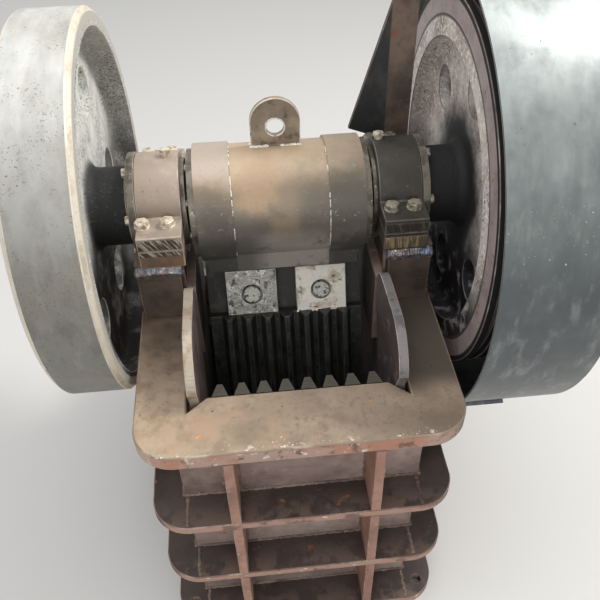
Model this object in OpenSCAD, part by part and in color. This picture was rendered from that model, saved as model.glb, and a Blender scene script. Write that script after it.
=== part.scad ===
// Small single-toggle jaw crusher: welded plate frame, cast swing jaw on an eccentric shaft,
// flywheel on the left, grooved sheave with a sheet guard on the right.
// X runs along the shaft, the feed side faces -Y, the foundation bolts are centred on the origin.

/* [Frame] */
// Height of the swing jaw's toe above the ground
toe_rise = 140; // [120:5:220]
// Length of the base, front to rear
frame_length = 1050; // [1000:5:1150]
// Overhang of the flanges past the side walls
side_overhang = 77; // [66:1:90]
// Radius of the flange corners
corner_r = 90; // [60:5:95]
// Thickness of the top flange
flange_t = 40; // [30:1:45]
// Drop of the top flange below the shaft centre
flange_drop = 217; // [205:1:230]
// Overhang of the flanges past the front and rear wall
wall_inset = 94; // [85:1:100]
// Thickness of the front and rear wall
wall_t = 36; // [30:1:40]
// Thickness of the two side walls
side_t = 45; // [36:1:48]
// Thickness of the base flange
base_t = 30; // [24:1:36]
// Thickness of the horizontal and vertical ribs
rib_t = 24; // [20:1:32]
// Height of the top of the lower rib
lower_rib_z = 273; // [260:1:290]
// Height of the top of the upper rib
upper_rib_z = 516; // [500:1:530]
// Distance of the front ribs from the middle
front_rib_x = 165; // [120:5:200]
// Distance of the front pair of side ribs ahead of the middle
side_rib_front = 200; // [150:5:260]
// Distance of the rear pair of side ribs behind the middle
side_rib_rear = 160; // [120:5:260]

/* [Foundation bolts] */
// Distance of the bolt holes from the side edges of the base
bolt_edge_x = 45; // [40:1:55]
// Distance of the bolt holes from the front and rear edge of the base
bolt_edge_y = 55; // [45:1:60]
// Diameter of the foundation bolt holes
bolt_hole_d = 28; // [22:1:32]

/* [Crushing chamber] */
// Pitch of the jaw teeth
tooth_pitch = 50; // [44:1:54]
// Number of teeth on the fixed jaw
tooth_count = 8; // [7:1:9]
// Height of the jaw teeth
tooth_h = 35; // [20:1:36]
// Width of a tooth at its tip
tooth_tip = 13; // [8:1:16]
// Thickness of the jaw plates under the teeth
jaw_t = 30; // [24:1:34]
// Length of the jaw plates
jaw_length = 575; // [540:1:600]
// Lean of the swing jaw from the vertical
jaw_lean = 20.7; // [19.5:0.1:21.5]
// Width of the feed mouth from tip to tip at the top
mouth_gap = 255; // [235:1:275]
// Drop of the swing jaw's top edge below the shaft centre
jaw_drop = 262; // [258:1:270]
// Distance of the swing jaw's top edge ahead of the shaft centre
jaw_front = 165; // [158:1:172]
// Gap between the jaws and the cheek plates
cheek_gap = 21; // [14:1:24]
// Thickness of the cheek plates
cheek_t = 22; // [16:1:28]
// Height of the cheek plates above the top flange
cheek_rise = 137; // [125:1:150]
// Radius of the front corner of the cheek plates
cheek_r = 120; // [100:5:122]
// Radius of the rear corner of the cheek plates
cheek_rear_r = 50; // [30:5:60]

/* [Shaft and wheels] */
// Throw of the eccentric
throw = 8; // [5:0.5:9]
// Diameter of the eccentric journal
eccentric_d = 140; // [130:1:150]
// Diameter of the main journals
journal_d = 110; // [104:1:116]
// Diameter of the shaft ends under the wheels
shaft_end_d = 100; // [90:1:103]
// Diameter of the flywheel and the sheave
wheel_d = 900; // [860:5:920]
// Width of both wheel rims
wheel_w = 152; // [140:1:160]
// Diameter of the wheel hubs
hub_d = 190; // [170:5:210]
// Distance of the webs behind the inner faces of the hubs
web_set = 92; // [84:1:100]
// Thickness of the wheel webs
web_t = 30; // [20:1:36]
// Radius of the fillets between web, hub and rim
web_fillet = 25; // [10:1:30]
// Number of lightening holes in each web
web_holes = 6; // [4:1:7]
// Distance of the flywheel rim behind the inner face of its hub
flywheel_set = 29; // [25:1:40]
// Radial thickness of the flywheel rim
flywheel_rim = 42; // [30:1:60]
// Chamfer on the edges of the flywheel rim
rim_chamfer = 10; // [2:1:14]
// Diameter of the holes in the flywheel web
flywheel_hole_d = 115; // [90:1:130]
// Distance of the flywheel's holes from its rim
flywheel_hole_edge = 70; // [40:1:90]
// Distance of the sheave rim behind the inner face of its hub
sheave_set = 45; // [40:1:55]
// Radial thickness of the sheave rim
sheave_rim = 105; // [90:1:115]
// Diameter of the holes in the sheave web
sheave_hole_d = 108; // [80:1:115]
// Distance of the sheave's holes from its rim
sheave_hole_edge = 36; // [30:1:50]
// Number of belt grooves in the sheave
belt_count = 5; // [3:1:5]
// Spacing of the belt grooves
belt_pitch = 25; // [22:1:27]
// Depth of the belt grooves
groove_deep = 18; // [14:1:20]
// Width of a belt groove at the rim
groove_w = 17; // [13:1:19]

/* [Bearings] */
// Outer radius of the bearing housings
housing_r = 124; // [118:1:128]
// Length of a bearing housing along the shaft
housing_w = 104; // [96:1:112]
// Distance of the bolt flange's edge from the shaft centre
housing_reach = 195; // [190:1:200]
// Thickness of the cap's bolt flange
cap_flange_t = 36; // [28:1:44]
// Depth of the bearing base below the shaft centre
bearing_drop = 49; // [40:1:60]
// Thickness of the pad under the bearing base
pad_t = 30; // [24:1:36]
// Width of the inner bearing covers along the shaft
cover_t = 10; // [6:1:12]
// Diameter of the inner bearing covers
cover_d = 210; // [190:5:220]
// Width of the outer bearing covers along the shaft
outer_cover_t = 18; // [12:1:22]

/* [Swing jaw] */
// Outer radius of the barrel between its sleeves
barrel_r = 138; // [132:1:140]
// Outer radius of the sleeves at the ends of the barrel
sleeve_r = 144; // [141:1:148]
// Width of a sleeve
sleeve_w = 85; // [75:1:100]
// Thickness of the rings on the barrel ends
end_ring_t = 15; // [10:1:20]
// Outer radius of the lifting eye
eye_r = 59; // [52:1:64]
// Diameter of the hole in the lifting eye
eye_hole_d = 42; // [32:1:46]
// Height of the lifting eye's hole above the shaft centre
eye_rise = 177; // [172:1:186]
// Thickness of the lifting eye
eye_t = 14; // [10:1:20]
// Width of a wedge block
block_w = 130; // [110:1:135]
// Thickness of a wedge block
block_t = 30; // [26:1:34]
// Length of a wedge block along the slope of the jaw
block_length = 120; // [105:1:124]
// Diameter of the wedge bolt heads
wedge_head_d = 45; // [38:1:52]
// Diameter of the wedge bolt shanks
wedge_shank_d = 27; // [20:1:30]

/* [Toggle] */
// Thickness of the toggle plate
toggle_t = 40; // [34:1:42]
// Inset of the toggle plate from the sides of the swing jaw
toggle_inset = 20; // [10:1:40]
// Depth of the toggle seat in front of the rear wall
toggle_seat = 40; // [34:1:50]
// Diameter of the tension rod
rod_d = 24; // [20:1:28]
// Mean diameter of the tension spring
spring_d = 64; // [56:1:70]
// Wire diameter of the tension spring
spring_wire = 12; // [8:1:14]
// Number of turns of the tension spring
spring_turns = 6; // [5:1:7]
// Length of the tension spring
spring_length = 120; // [110:5:140]

/* [Belt guard] */
// Outer radius of the guard
guard_r = 543; // [525:1:555]
// Drop of the guard's centre below the shaft centre
guard_sag = 16; // [0:1:25]
// Thickness of the guard sheet
guard_t = 5; // [3:0.5:6]
// Distance of the guard's open edge behind the inner face of the sheave's hub
guard_set = 26; // [20:1:34]
// Width of the guard
guard_w = 250; // [220:1:270]
// Height of the opening for the belts in the rear of the guard
belt_exit_h = 320; // [280:5:360]

/* [Hidden] */
$fn = 96;

// Clearances
running_gap = 0.05;
seat_gap = 0.3;
moving_gap = 6;
overcut = 1;

// Back of the swing jaw plate and toe of the swing jaw, from the shaft centre
swing_top = [-jaw_front, -jaw_drop];
jaw_dir = [-sin(jaw_lean), -cos(jaw_lean)];
jaw_rear = [cos(jaw_lean), -sin(jaw_lean)];
plate_t = jaw_t + tooth_h;
back_top = swing_top + jaw_rear * (plate_t + seat_gap);
back_low = back_top + jaw_dir * (jaw_length + seat_gap);
toe_drop = 47;
toe_reach = 122;
toe_h = 135;
toe_low = round(back_low[1] - toe_drop);
toe_rear = back_low[0] + toe_reach;
toe_top = toe_low + toe_h;

// Widths, from the middle outwards
jaw_w = tooth_pitch * tooth_count;
cheek_x = jaw_w / 2 + cheek_gap;
side_x = cheek_x + cheek_t;
side_out = side_x + side_t;
half_w = side_out + side_overhang;
barrel_length = jaw_w;
housing_x = barrel_length / 2 + end_ring_t + moving_gap + overcut + cover_t;
housing_end = housing_x + housing_w;
cover_lip = 2;
cover_r = housing_r + cover_lip;
hub_x = housing_end + outer_cover_t + moving_gap;
shaft_end = hub_x + sheave_set + wheel_w;
guard_x = hub_x + guard_set;

// Frame levels and faces
half_l = frame_length / 2;
shaft_height = toe_rise - toe_low;
flange_top = shaft_height - flange_drop;
flange_low = flange_top - flange_t;
wall_y = half_l - wall_inset;
front_in = -wall_y + wall_t;
rear_in = wall_y - wall_t;
fixed_tip_y = front_in + jaw_t + tooth_h;
shaft_back = fixed_tip_y + mouth_gap + jaw_front;
seat_top = shaft_height - bearing_drop;
seat_low = seat_top - pad_t;
seat_out = housing_end + outer_cover_t;
front_cut = 15;
rear_past = 20;
front_reach = housing_reach - front_cut;
rear_reach = housing_reach + rear_past;
riser_t = 30;
riser_front = shaft_back - front_reach + riser_t;
riser_rear = shaft_back + rear_reach - riser_t;
bar_depth = 160;
notch_in = 45;
notch_deep = 40;
arm_gap = 7;
arm_x = side_x + arm_gap;
bar_rear = -half_l + bar_depth;
notch_x = arm_x - notch_in;
pad_front = 180;
pad_rear = 125;
pad_top = 141;
pad_low = 354;

// Chamber
fixed_low = flange_top - jaw_length;
ledge = 45;
cheek_set = 2;
cheek_front = bar_rear - notch_deep * (cheek_x - notch_x) / notch_in + cheek_set;
cheek_nose = 24;
cheek_step = 52;
cheek_back = 52;
cheek_lean = 22;
cheek_toe = 12;
cheek_rear_drop = 8;

// Swing jaw, from the shaft centre
lip_reach = 45;
lip_t = 30;
lip_nose = 20;
apron_front = 102;
apron_low = 150;
apron_inset = 13;
seat_y = back_top[0] - (apron_low + back_top[1]) * tan(jaw_lean);
slab_t = 36;
heel = [58, 90];
rib_inset = 20;
rib_x = jaw_w / 2 - rib_inset;
rib_head = [124, -55];
block_foot = swing_top + jaw_rear * (plate_t - block_t);
block_x = [-86, 94];
bolt_share = 0.45;
bolt_up = bolt_share * block_length;
head_t = 14;
head_recess = 12;
head_gap = 4;
shank_past = 20;
ring_step = 12;
ring_gap = 12;
eye_back = 20;
eye_over = 12;

// Toggle and tension rod, from the shaft centre
toggle_r = toggle_t / 2;
groove_at = [111, 70];
toggle_front = [back_low[0] + groove_at[0], toe_low + groove_at[1]];
toggle_rise = 65;
toggle_rear = [rear_in - toggle_seat - shaft_back, toggle_front[1] + toggle_rise];
groove_r = toggle_r + throw + moving_gap;
lug_back = 77;
lug_sink = 12;
lug_drop = 32;
lug_y = back_low[0] + lug_back;
rod_z = toe_low - lug_drop;
lug_r = 24;
lug_t = 18;
lug_gap = 4;
rod_eye_w = 40;
pin_r = 10;
lug_x = rod_eye_w / 2 + lug_gap + lug_t / 2;
pin_past = 3;
washer_t = 10;
washer_over = 20;
nut_af = 36;
nut_t = 20;
spring_y = wall_y - shaft_back + throw + moving_gap + washer_t;
rod_past = 25;
rod_end = spring_y + spring_length + washer_t + 2 * nut_t + rod_past;

// Guard
exit_edge = 30;
exit_drop = 175;
post_w = 65;
post_t = 12;
post_x = half_w - post_w;
post_gap = 4;
post_y = housing_reach + post_gap;
arm_lap = 30;
gusset = [[97, 58], [0, 378], [0, 20]];
stay_w = 40;
stay_t = 10;
stay_reach = 128;
stay_angle = 47;
hub_sink = 10;
flywheel_phase = 18;
sheave_phase = 8;
arc_steps = 5;

function arc(centre, radius, from, to) = [for (i = [0 : arc_steps])
  centre + radius * [cos(from + (to - from) * i / arc_steps),
    sin(from + (to - from) * i / arc_steps)]];

module along_x(length) {
  rotate([90, 0, 90]) linear_extrude(length, center = true) children();
}
module disc(radius, width) {
  rotate([0, 90, 0]) cylinder(r = radius, h = width, center = true);
}
module at_shaft() {
  translate([0, shaft_back, shaft_height]) children();
}
module rounded_plate() {
  square([2 * half_w, frame_length - 2 * corner_r], center = true);
  square([2 * (half_w - corner_r), frame_length], center = true);
  for (x = [-1, 1], y = [-1, 1])
    translate([x * (half_w - corner_r), y * (half_l - corner_r)]) circle(corner_r);
}
module ring_plate(top, thick) {
  translate([0, 0, top - thick]) linear_extrude(thick) difference() {
    rounded_plate();
    square([2 * side_out, 2 * wall_y], center = true);
  }
}

module base_flange() {
  color("dimgray") difference() {
    linear_extrude(base_t) difference() {
      rounded_plate();
      square([2 * side_x, 2 * rear_in], center = true);
    }
    for (x = [-1, 1], y = [-1, 1])
      translate([x * (half_w - bolt_edge_x), y * (half_l - bolt_edge_y), -overcut])
        cylinder(d = bolt_hole_d, h = base_t + 2 * overcut);
  }
}
module lower_rib() {
  color("dimgray") ring_plate(lower_rib_z, rib_t);
}
module upper_rib() {
  color("dimgray") ring_plate(upper_rib_z, rib_t);
}
module front_wall() {
  color("rosybrown") {
    translate([-side_out, -wall_y, base_t])
      cube([2 * side_out, wall_t, flange_low - base_t]);
    translate([-jaw_w / 2, front_in, fixed_low - ledge])
      cube([jaw_w, jaw_t + tooth_h / 2, ledge]);
  }
}
module rear_wall() {
  color("rosybrown") difference() {
    translate([-side_out, rear_in, base_t])
      cube([2 * side_out, wall_t, upper_rib_z - base_t]);
    translate([0, wall_y - wall_t / 2, shaft_height + rod_z + throw])
      rotate([90, 0, 0])
        cylinder(r = rod_d / 2 + throw + moving_gap, h = wall_t + 2 * overcut, center = true);
  }
}
// A side wall with the doubler plate inside it, below the bearing
module side_wall(side) {
  color("rosybrown") difference() {
    union() {
      translate([side * (side_x + side_t / 2), 0, 0]) along_x(side_t) polygon([
        [front_in, base_t], [rear_in, base_t], [rear_in, upper_rib_z],
        [riser_rear, flange_top], [riser_rear, seat_low], [riser_front, seat_low],
        [riser_front, flange_low], [front_in, flange_low]]);
      at_shaft() translate([side * (cheek_x + cheek_t / 2), 0, 0])
        along_x(cheek_t) polygon([[-pad_front, -pad_top],
          [-pad_front, -pad_low], [pad_rear, -pad_low], [pad_rear, -pad_top]]);
    }
    at_shaft() translate([side * (side_x + side_t / 2), 0, 0])
      disc(housing_r + seat_gap, side_t + 2 * overcut);
  }
}
module side_wall_left() {
  side_wall(-1);
}
module side_wall_right() {
  side_wall(1);
}
module top_flange() {
  color("tan") translate([0, 0, flange_low]) linear_extrude(flange_t) difference() {
    rounded_plate();
    translate([-half_w - overcut, riser_front])
      square([2 * (half_w + overcut), frame_length]);
    polygon([[-arm_x, half_l], [-arm_x, bar_rear - notch_deep], [-notch_x, bar_rear],
      [notch_x, bar_rear], [arm_x, bar_rear - notch_deep], [arm_x, half_l]]);
  }
}
module front_ribs() {
  color("sienna") for (x = [-1, 1], span = [[base_t, lower_rib_z - rib_t],
      [lower_rib_z, upper_rib_z - rib_t], [upper_rib_z, flange_low]])
    translate([x * front_rib_x - rib_t / 2, -half_l, span[0]])
      cube([rib_t, wall_inset, span[1] - span[0]]);
}
module side_ribs(side) {
  color("sienna") for (y = [-side_rib_front, side_rib_rear],
      span = [[base_t, lower_rib_z - rib_t], [lower_rib_z, upper_rib_z - rib_t]])
    translate([side * (side_out + half_w) / 2, y, (span[0] + span[1]) / 2])
      cube([side_overhang, rib_t, span[1] - span[0]], center = true);
}
module side_ribs_left() {
  side_ribs(-1);
}
module side_ribs_right() {
  side_ribs(1);
}
module rear_ribs() {
  color("sienna") for (x = [-1, 1], span = [[base_t, lower_rib_z - rib_t],
      [lower_rib_z, upper_rib_z - rib_t]])
    translate([x * front_rib_x - rib_t / 2, wall_y, span[0]])
      cube([rib_t, wall_inset, span[1] - span[0]]);
}

// The upright plate in front of a bearing and the bent plate behind it
module bearing_riser(side) {
  slope = (flange_top - upper_rib_z) / (rear_in - riser_rear);
  rear_out = riser_rear + riser_t;
  color("sienna") {
    translate([side * (arm_x + seat_out) / 2, riser_front - riser_t / 2,
        (flange_top + seat_low) / 2])
      cube([seat_out - arm_x, riser_t, seat_low - flange_top], center = true);
    translate([side * (side_x + seat_out) / 2, 0, 0]) along_x(seat_out - side_x) polygon([
      [riser_rear, seat_low], [riser_rear, flange_top], [rear_in, upper_rib_z],
      [wall_y, upper_rib_z], [rear_out, upper_rib_z + (wall_y - rear_out) * slope],
      [rear_out, seat_low]]);
  }
}
module bearing_riser_left() {
  bearing_riser(-1);
}
module bearing_riser_right() {
  bearing_riser(1);
}
module bearing_seat(side) {
  color("slategray") difference() {
    translate([side * (side_x + seat_out) / 2, shaft_back + (rear_reach - front_reach) / 2,
        (seat_low + seat_top) / 2])
      cube([seat_out - side_x, front_reach + rear_reach, pad_t], center = true);
    at_shaft() translate([side * half_w, 0, 0]) disc(cover_r + seat_gap, 2 * half_w);
  }
}
module bearing_seat_left() {
  bearing_seat(-1);
}
module bearing_seat_right() {
  bearing_seat(1);
}

// Half a bearing housing: the half disc round the journal and its bolt flange
module housing_half(side, half, flange) {
  at_shaft() translate([side * (housing_x + housing_w / 2), 0, 0]) difference() {
    intersection() {
      union() {
        disc(housing_r, housing_w);
        translate([0, 0, half * flange / 2])
          cube([housing_w, 2 * housing_reach, flange], center = true);
      }
      translate([0, 0, half * housing_reach])
        cube([2 * housing_w, 4 * housing_reach, 2 * housing_reach], center = true);
    }
    disc(journal_d / 2 + running_gap, housing_w + 2 * overcut);
  }
}
module bearing_base_left() {
  color("dimgray") housing_half(-1, -1, bearing_drop);
}
module bearing_base_right() {
  color("dimgray") housing_half(1, -1, bearing_drop);
}
module bearing_cap_left() {
  color("tan") housing_half(-1, 1, cap_flange_t);
}
module bearing_cap_right() {
  color("tan") housing_half(1, 1, cap_flange_t);
}
module bearing_cover(x, radius, thick) {
  translate([x, 0, 0]) difference() {
    disc(radius, thick);
    disc(journal_d / 2 + moving_gap, thick + 2 * overcut);
  }
}
module bearing_covers(side) {
  color("dimgray") at_shaft() {
    bearing_cover(side * (housing_x - cover_t / 2), cover_d / 2, cover_t);
    bearing_cover(side * (housing_end + outer_cover_t / 2), cover_r, outer_cover_t);
  }
}
module bearing_covers_left() {
  bearing_covers(-1);
}
module bearing_covers_right() {
  bearing_covers(1);
}

// Cross-section of a jaw plate: teeth with straight flanks on a flat back
module tooth_profile(count) {
  flank = (tooth_pitch - 2 * tooth_tip) / 2;
  points = [for (i = [0 : count - 1], p = [[-tooth_tip / 2 - flank, tooth_h],
      [-tooth_tip / 2, 0], [tooth_tip / 2, 0], [tooth_tip / 2 + flank, tooth_h]])
      [(i - (count - 1) / 2) * tooth_pitch + p[0], p[1]]];
  polygon(concat([[-jaw_w / 2, plate_t], [-jaw_w / 2, tooth_h]], points,
    [[jaw_w / 2, tooth_h], [jaw_w / 2, plate_t]]));
}
module fixed_jaw() {
  color("darkgray") difference() {
    translate([0, fixed_tip_y, fixed_low])
      mirror([0, 1, 0]) linear_extrude(jaw_length) tooth_profile(tooth_count);
    translate([-jaw_w, front_in - overcut, flange_low])
      cube([2 * jaw_w, bar_rear - front_in + overcut + seat_gap, 2 * flange_t]);
  }
}
module moving_jaw() {
  color("#2a2a2a") at_shaft() translate([0, swing_top[0], swing_top[1]])
    rotate([-jaw_lean, 0, 0]) translate([0, 0, -jaw_length])
      linear_extrude(jaw_length) tooth_profile(tooth_count - 1);
}
module cheek_plate(side) {
  cheek_top = flange_top + cheek_rise;
  arc_y = cheek_front - cheek_nose + cheek_r;
  arc_z = cheek_top - cheek_r;
  rear_y = shaft_back - jaw_front - cheek_back;
  rear_z = cheek_top - cheek_rear_drop - cheek_rear_r;
  color("tan") translate([side * (cheek_x + cheek_t / 2), 0, 0]) along_x(cheek_t) difference() {
    union() {
      translate([arc_y, arc_z]) circle(cheek_r);
      translate([rear_y + cheek_lean - cheek_rear_r, rear_z]) circle(cheek_rear_r);
      polygon([[cheek_front, fixed_low], [cheek_front + cheek_toe, fixed_low],
        [rear_y, flange_top], [rear_y + cheek_lean, rear_z],
        [rear_y + cheek_lean - cheek_rear_r, rear_z + cheek_rear_r], [arc_y, cheek_top],
        [cheek_front, arc_z]]);
    }
    polygon([[cheek_front - cheek_r, flange_top + cheek_step],
      [cheek_front - cheek_nose, flange_top + cheek_step], [cheek_front, flange_top],
      [cheek_front, fixed_low - overcut], [cheek_front - cheek_r, fixed_low - overcut]]);
  }
}
module cheek_plate_left() {
  cheek_plate(-1);
}
module cheek_plate_right() {
  cheek_plate(1);
}

module eccentric_shaft() {
  color("silver") at_shaft() {
    translate([0, 0, -throw]) disc(eccentric_d / 2, barrel_length - 2 * moving_gap);
    disc(journal_d / 2, 2 * (housing_end + outer_cover_t));
    disc(shaft_end_d / 2, 2 * shaft_end);
  }
}
// A cast wheel as one revolved section: hub, filleted web and rim, then its lightening holes.
// Radius runs along the section's first axis, distance from the hub's inner face along the second.
module wheel(set, rim, tread, hole_d, hole_edge, phase) {
  rim_in = wheel_d / 2 - rim;
  hub_r = hub_d / 2;
  bore_r = shaft_end_d / 2 + seat_gap;
  web_out = web_set + web_t;
  hub_out = set + wheel_w - hub_sink;
  translate([hub_x, 0, 0]) difference() {
    rotate([0, 90, 0]) rotate_extrude() polygon(concat(
      [[bore_r, 0], [hub_r, 0]],
      arc([hub_r + web_fillet, web_set - web_fillet], web_fillet, 180, 90),
      arc([rim_in - web_fillet, web_set - web_fillet], web_fillet, 90, 0),
      [[rim_in, set]], tread, [[rim_in, set + wheel_w]],
      arc([rim_in - web_fillet, web_out + web_fillet], web_fillet, 0, -90),
      arc([hub_r + web_fillet, web_out + web_fillet], web_fillet, -90, -180),
      [[hub_r, hub_out], [bore_r, hub_out]]));
    for (i = [0 : web_holes - 1]) rotate([phase + i * 360 / web_holes, 0, 0])
      translate([web_set + web_t / 2, 0, rim_in - hole_edge - hole_d / 2])
        disc(hole_d / 2, web_t + 2 * overcut);
  }
}
module flywheel() {
  wheel_r = wheel_d / 2;
  far = flywheel_set + wheel_w;
  color("gainsboro") at_shaft() mirror([1, 0, 0]) wheel(flywheel_set, flywheel_rim,
    [[wheel_r - rim_chamfer, flywheel_set], [wheel_r, flywheel_set + rim_chamfer],
      [wheel_r, far - rim_chamfer], [wheel_r - rim_chamfer, far]],
    flywheel_hole_d, flywheel_hole_edge, flywheel_phase);
}
module belt_sheave() {
  wheel_r = wheel_d / 2;
  middle = sheave_set + wheel_w / 2;
  grooves = [for (i = [0 : belt_count - 1], p = [[0, -groove_w / 2],
      [-groove_deep, -groove_w / 4], [-groove_deep, groove_w / 4], [0, groove_w / 2]])
    [wheel_r + p[0], middle + (i - (belt_count - 1) / 2) * belt_pitch + p[1]]];
  color("rosybrown") at_shaft() wheel(sheave_set, sheave_rim,
    concat([[wheel_r, sheave_set]], grooves, [[wheel_r, sheave_set + wheel_w]]),
    sheave_hole_d, sheave_hole_edge, sheave_phase);
}

// Where a wedge block lies on the slope of the swing jaw, above the jaw plate
module at_block(x) {
  translate([x, block_foot[0], block_foot[1]]) rotate([-jaw_lean, 0, 0]) children();
}
// The cast swing jaw: barrel with sleeves, apron, slab behind the jaw plate, ribs, toe and lugs
module swing_jaw() {
  lip = back_low - jaw_rear * lip_reach;
  color("dimgray") at_shaft() difference() {
    union() {
      translate([0, 0, -throw]) {
        disc(barrel_r, barrel_length);
        for (x = [-1, 1]) translate([x * (barrel_length - sleeve_w) / 2, 0, 0])
          disc(sleeve_r, sleeve_w);
      }
      along_x(jaw_w - 2 * apron_inset) polygon([[-apron_front, -throw],
        [-apron_front, -apron_low], [seat_y, -apron_low], [seat_y, -throw]]);
      along_x(jaw_w) polygon([[seat_y, -throw], [seat_y, -apron_low], back_top, back_low,
        lip, lip + jaw_dir * lip_t, [back_low[0] - lip_nose, toe_low], [toe_rear, toe_low],
        [toe_rear, toe_top],
        back_low + jaw_rear * heel[0] - jaw_dir * heel[1],
        back_top + jaw_rear * slab_t, [0, -barrel_r]]);
      for (i = [-3 : 2 : 3]) translate([i * rib_x / 3, 0, 0]) along_x(rib_t) polygon([
        back_top, back_low, [toe_rear, toe_top - lip_nose], [toe_rear, toe_top], rib_head,
        [0, -throw]]);
      for (x = [-1, 1]) translate([x * lug_x, lug_y, rod_z]) {
        disc(lug_r, lug_t);
        translate([0, 0, (lug_drop + lug_sink) / 2])
          cube([lug_t, 2 * lug_r, lug_drop + lug_sink], center = true);
      }
    }
    translate([0, 0, -throw]) disc(eccentric_d / 2 + running_gap, barrel_length + 2 * overcut);
    translate([0, toggle_front[0], toggle_front[1] - throw])
      disc(groove_r, jaw_w + 2 * overcut);
    for (x = block_x) at_block(x) translate([0, 0, bolt_up]) rotate([-90, 0, 0])
      cylinder(d = wedge_shank_d + 2 * seat_gap, h = block_t + shank_past + moving_gap);
    translate([0, lug_y, rod_z]) disc(pin_r + seat_gap, 4 * lug_x);
  }
}
module barrel_rings() {
  color("gray") at_shaft() translate([0, 0, -throw]) for (x = [-1, 1])
    translate([x * (barrel_length + end_ring_t) / 2, 0, 0]) difference() {
      disc(sleeve_r - ring_step, end_ring_t);
      disc(eccentric_d / 2 + ring_gap, end_ring_t + 2 * overcut);
    }
}
module lifting_eye() {
  foot = barrel_r - 2 * throw;
  color("darkkhaki") at_shaft() difference() {
    translate([0, eye_back, 0]) rotate([90, 0, 0]) linear_extrude(eye_t, center = true)
      difference() {
        union() {
          translate([0, eye_rise + eye_over]) circle(eye_r);
          translate([-eye_r, foot]) square([2 * eye_r, eye_rise + eye_over - foot]);
        }
        translate([0, eye_rise]) circle(d = eye_hole_d);
      }
    translate([0, 0, -throw]) disc(barrel_r + seat_gap, barrel_length);
  }
}
module wedge_block(x) {
  color("silver") at_shaft() at_block(x) difference() {
    translate([-block_w / 2, 0, seat_gap]) cube([block_w, block_t, block_length]);
    translate([0, 0, bolt_up]) rotate([90, 0, 0]) {
      cylinder(d = wedge_shank_d + 2 * seat_gap, h = 4 * block_t, center = true);
      cylinder(d = wedge_head_d + 2 * head_gap, h = 2 * head_recess, center = true);
    }
  }
}
module wedge_block_left() {
  wedge_block(block_x[0]);
}
module wedge_block_right() {
  wedge_block(block_x[1]);
}
module wedge_bolts() {
  color("silver") at_shaft() for (x = block_x)
    at_block(x) translate([0, head_recess, bolt_up]) rotate([-90, 0, 0]) {
      translate([0, 0, -head_t]) cylinder(d = wedge_head_d, h = head_t);
      cylinder(d = wedge_shank_d, h = block_t - head_recess + shank_past);
    }
}

module toggle_plate() {
  color("dimgray") at_shaft() along_x(jaw_w - 2 * toggle_inset) union() {
    translate(toggle_front) circle(toggle_r);
    translate(toggle_rear) circle(toggle_r);
    polygon([toggle_front + [0, toggle_r], toggle_front - [0, toggle_r],
      toggle_rear - [0, toggle_r], toggle_rear + [0, toggle_r]]);
  }
}
module toggle_block() {
  color("gray") difference() {
    translate([-side_x, rear_in - toggle_seat, shaft_height + toggle_rear[1] - 3 * toggle_r])
      cube([2 * side_x, toggle_seat, 6 * toggle_r]);
    at_shaft() translate([0, toggle_rear[0], toggle_rear[1]])
      disc(toggle_r + seat_gap, 2 * half_w);
  }
}
module tension_rod() {
  color("silver") at_shaft() translate([0, lug_y, rod_z]) {
    disc(lug_r, rod_eye_w);
    disc(pin_r, 2 * lug_x + lug_t + 2 * pin_past);
    rotate([-90, 0, 0]) cylinder(d = rod_d, h = rod_end - lug_y);
  }
}
// Washers at both ends of the spring and two nuts behind them
module spring_nuts() {
  nut_r = nut_af / 2 / cos(30);
  washer_d = spring_d + washer_over;
  color("gray") at_shaft() translate([0, spring_y, rod_z]) rotate([-90, 0, 0]) difference() {
    union() {
      translate([0, 0, -washer_t]) cylinder(d = washer_d, h = washer_t);
      translate([0, 0, spring_length]) cylinder(d = washer_d, h = washer_t);
      translate([0, 0, spring_length + washer_t]) cylinder(r = nut_r, h = 2 * nut_t, $fn = 6);
    }
    cylinder(d = rod_d + 2 * seat_gap, h = 4 * spring_length, center = true);
  }
}
// A coil of tilted half turns, each ending where the next one starts
module tension_spring() {
  rise = (spring_length - spring_wire) / spring_turns / 2;
  tilt = asin(rise / spring_d);
  color("dimgray") at_shaft() translate([0, spring_y, rod_z]) rotate([-90, 0, 0])
    for (i = [0 : 2 * spring_turns - 1])
      translate([0, 0, spring_wire / 2 + (i + 0.5) * rise]) rotate([0, 0, 180 * i])
        rotate([0, tilt, 0]) intersection() {
          rotate_extrude() translate([spring_d / 2, 0]) circle(d = spring_wire);
          translate([-spring_d, 0, -spring_wire]) cube([2 * spring_d, spring_d, 2 * spring_wire]);
        }
}

module guard_rim() {
  color("lightslategray") at_shaft() translate([guard_x + guard_w / 2, 0, -guard_sag])
    difference() {
      disc(guard_r, guard_w);
      disc(guard_r - guard_t, guard_w + 2 * overcut);
      translate([0, guard_r, -exit_drop])
        cube([guard_w - 2 * exit_edge, guard_r, belt_exit_h], center = true);
    }
}
module guard_disc() {
  color("lightslategray") at_shaft()
    translate([guard_x + guard_w - guard_t / 2, 0, -guard_sag]) disc(guard_r - guard_t, guard_t);
}
// The upright bar behind the right bearing, its gusset and the arm that holds the guard
module guard_post() {
  post_top = sqrt(pow(guard_r, 2) - pow(post_y, 2)) - guard_sag;
  color("sienna") at_shaft() intersection() {
    translate([post_x, post_y + post_t, 0]) rotate([90, 0, 0]) linear_extrude(post_t) union() {
      translate([0, -bearing_drop]) square([post_w, post_top + bearing_drop]);
      translate([0, post_top - post_w]) square([guard_x + arm_lap - post_x, post_w]);
      polygon([for (p = gusset) [-p[0], p[1]]]);
    }
    translate([0, 0, -guard_sag]) disc(guard_r - guard_t - seat_gap, 4 * half_w);
  }
}
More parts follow.
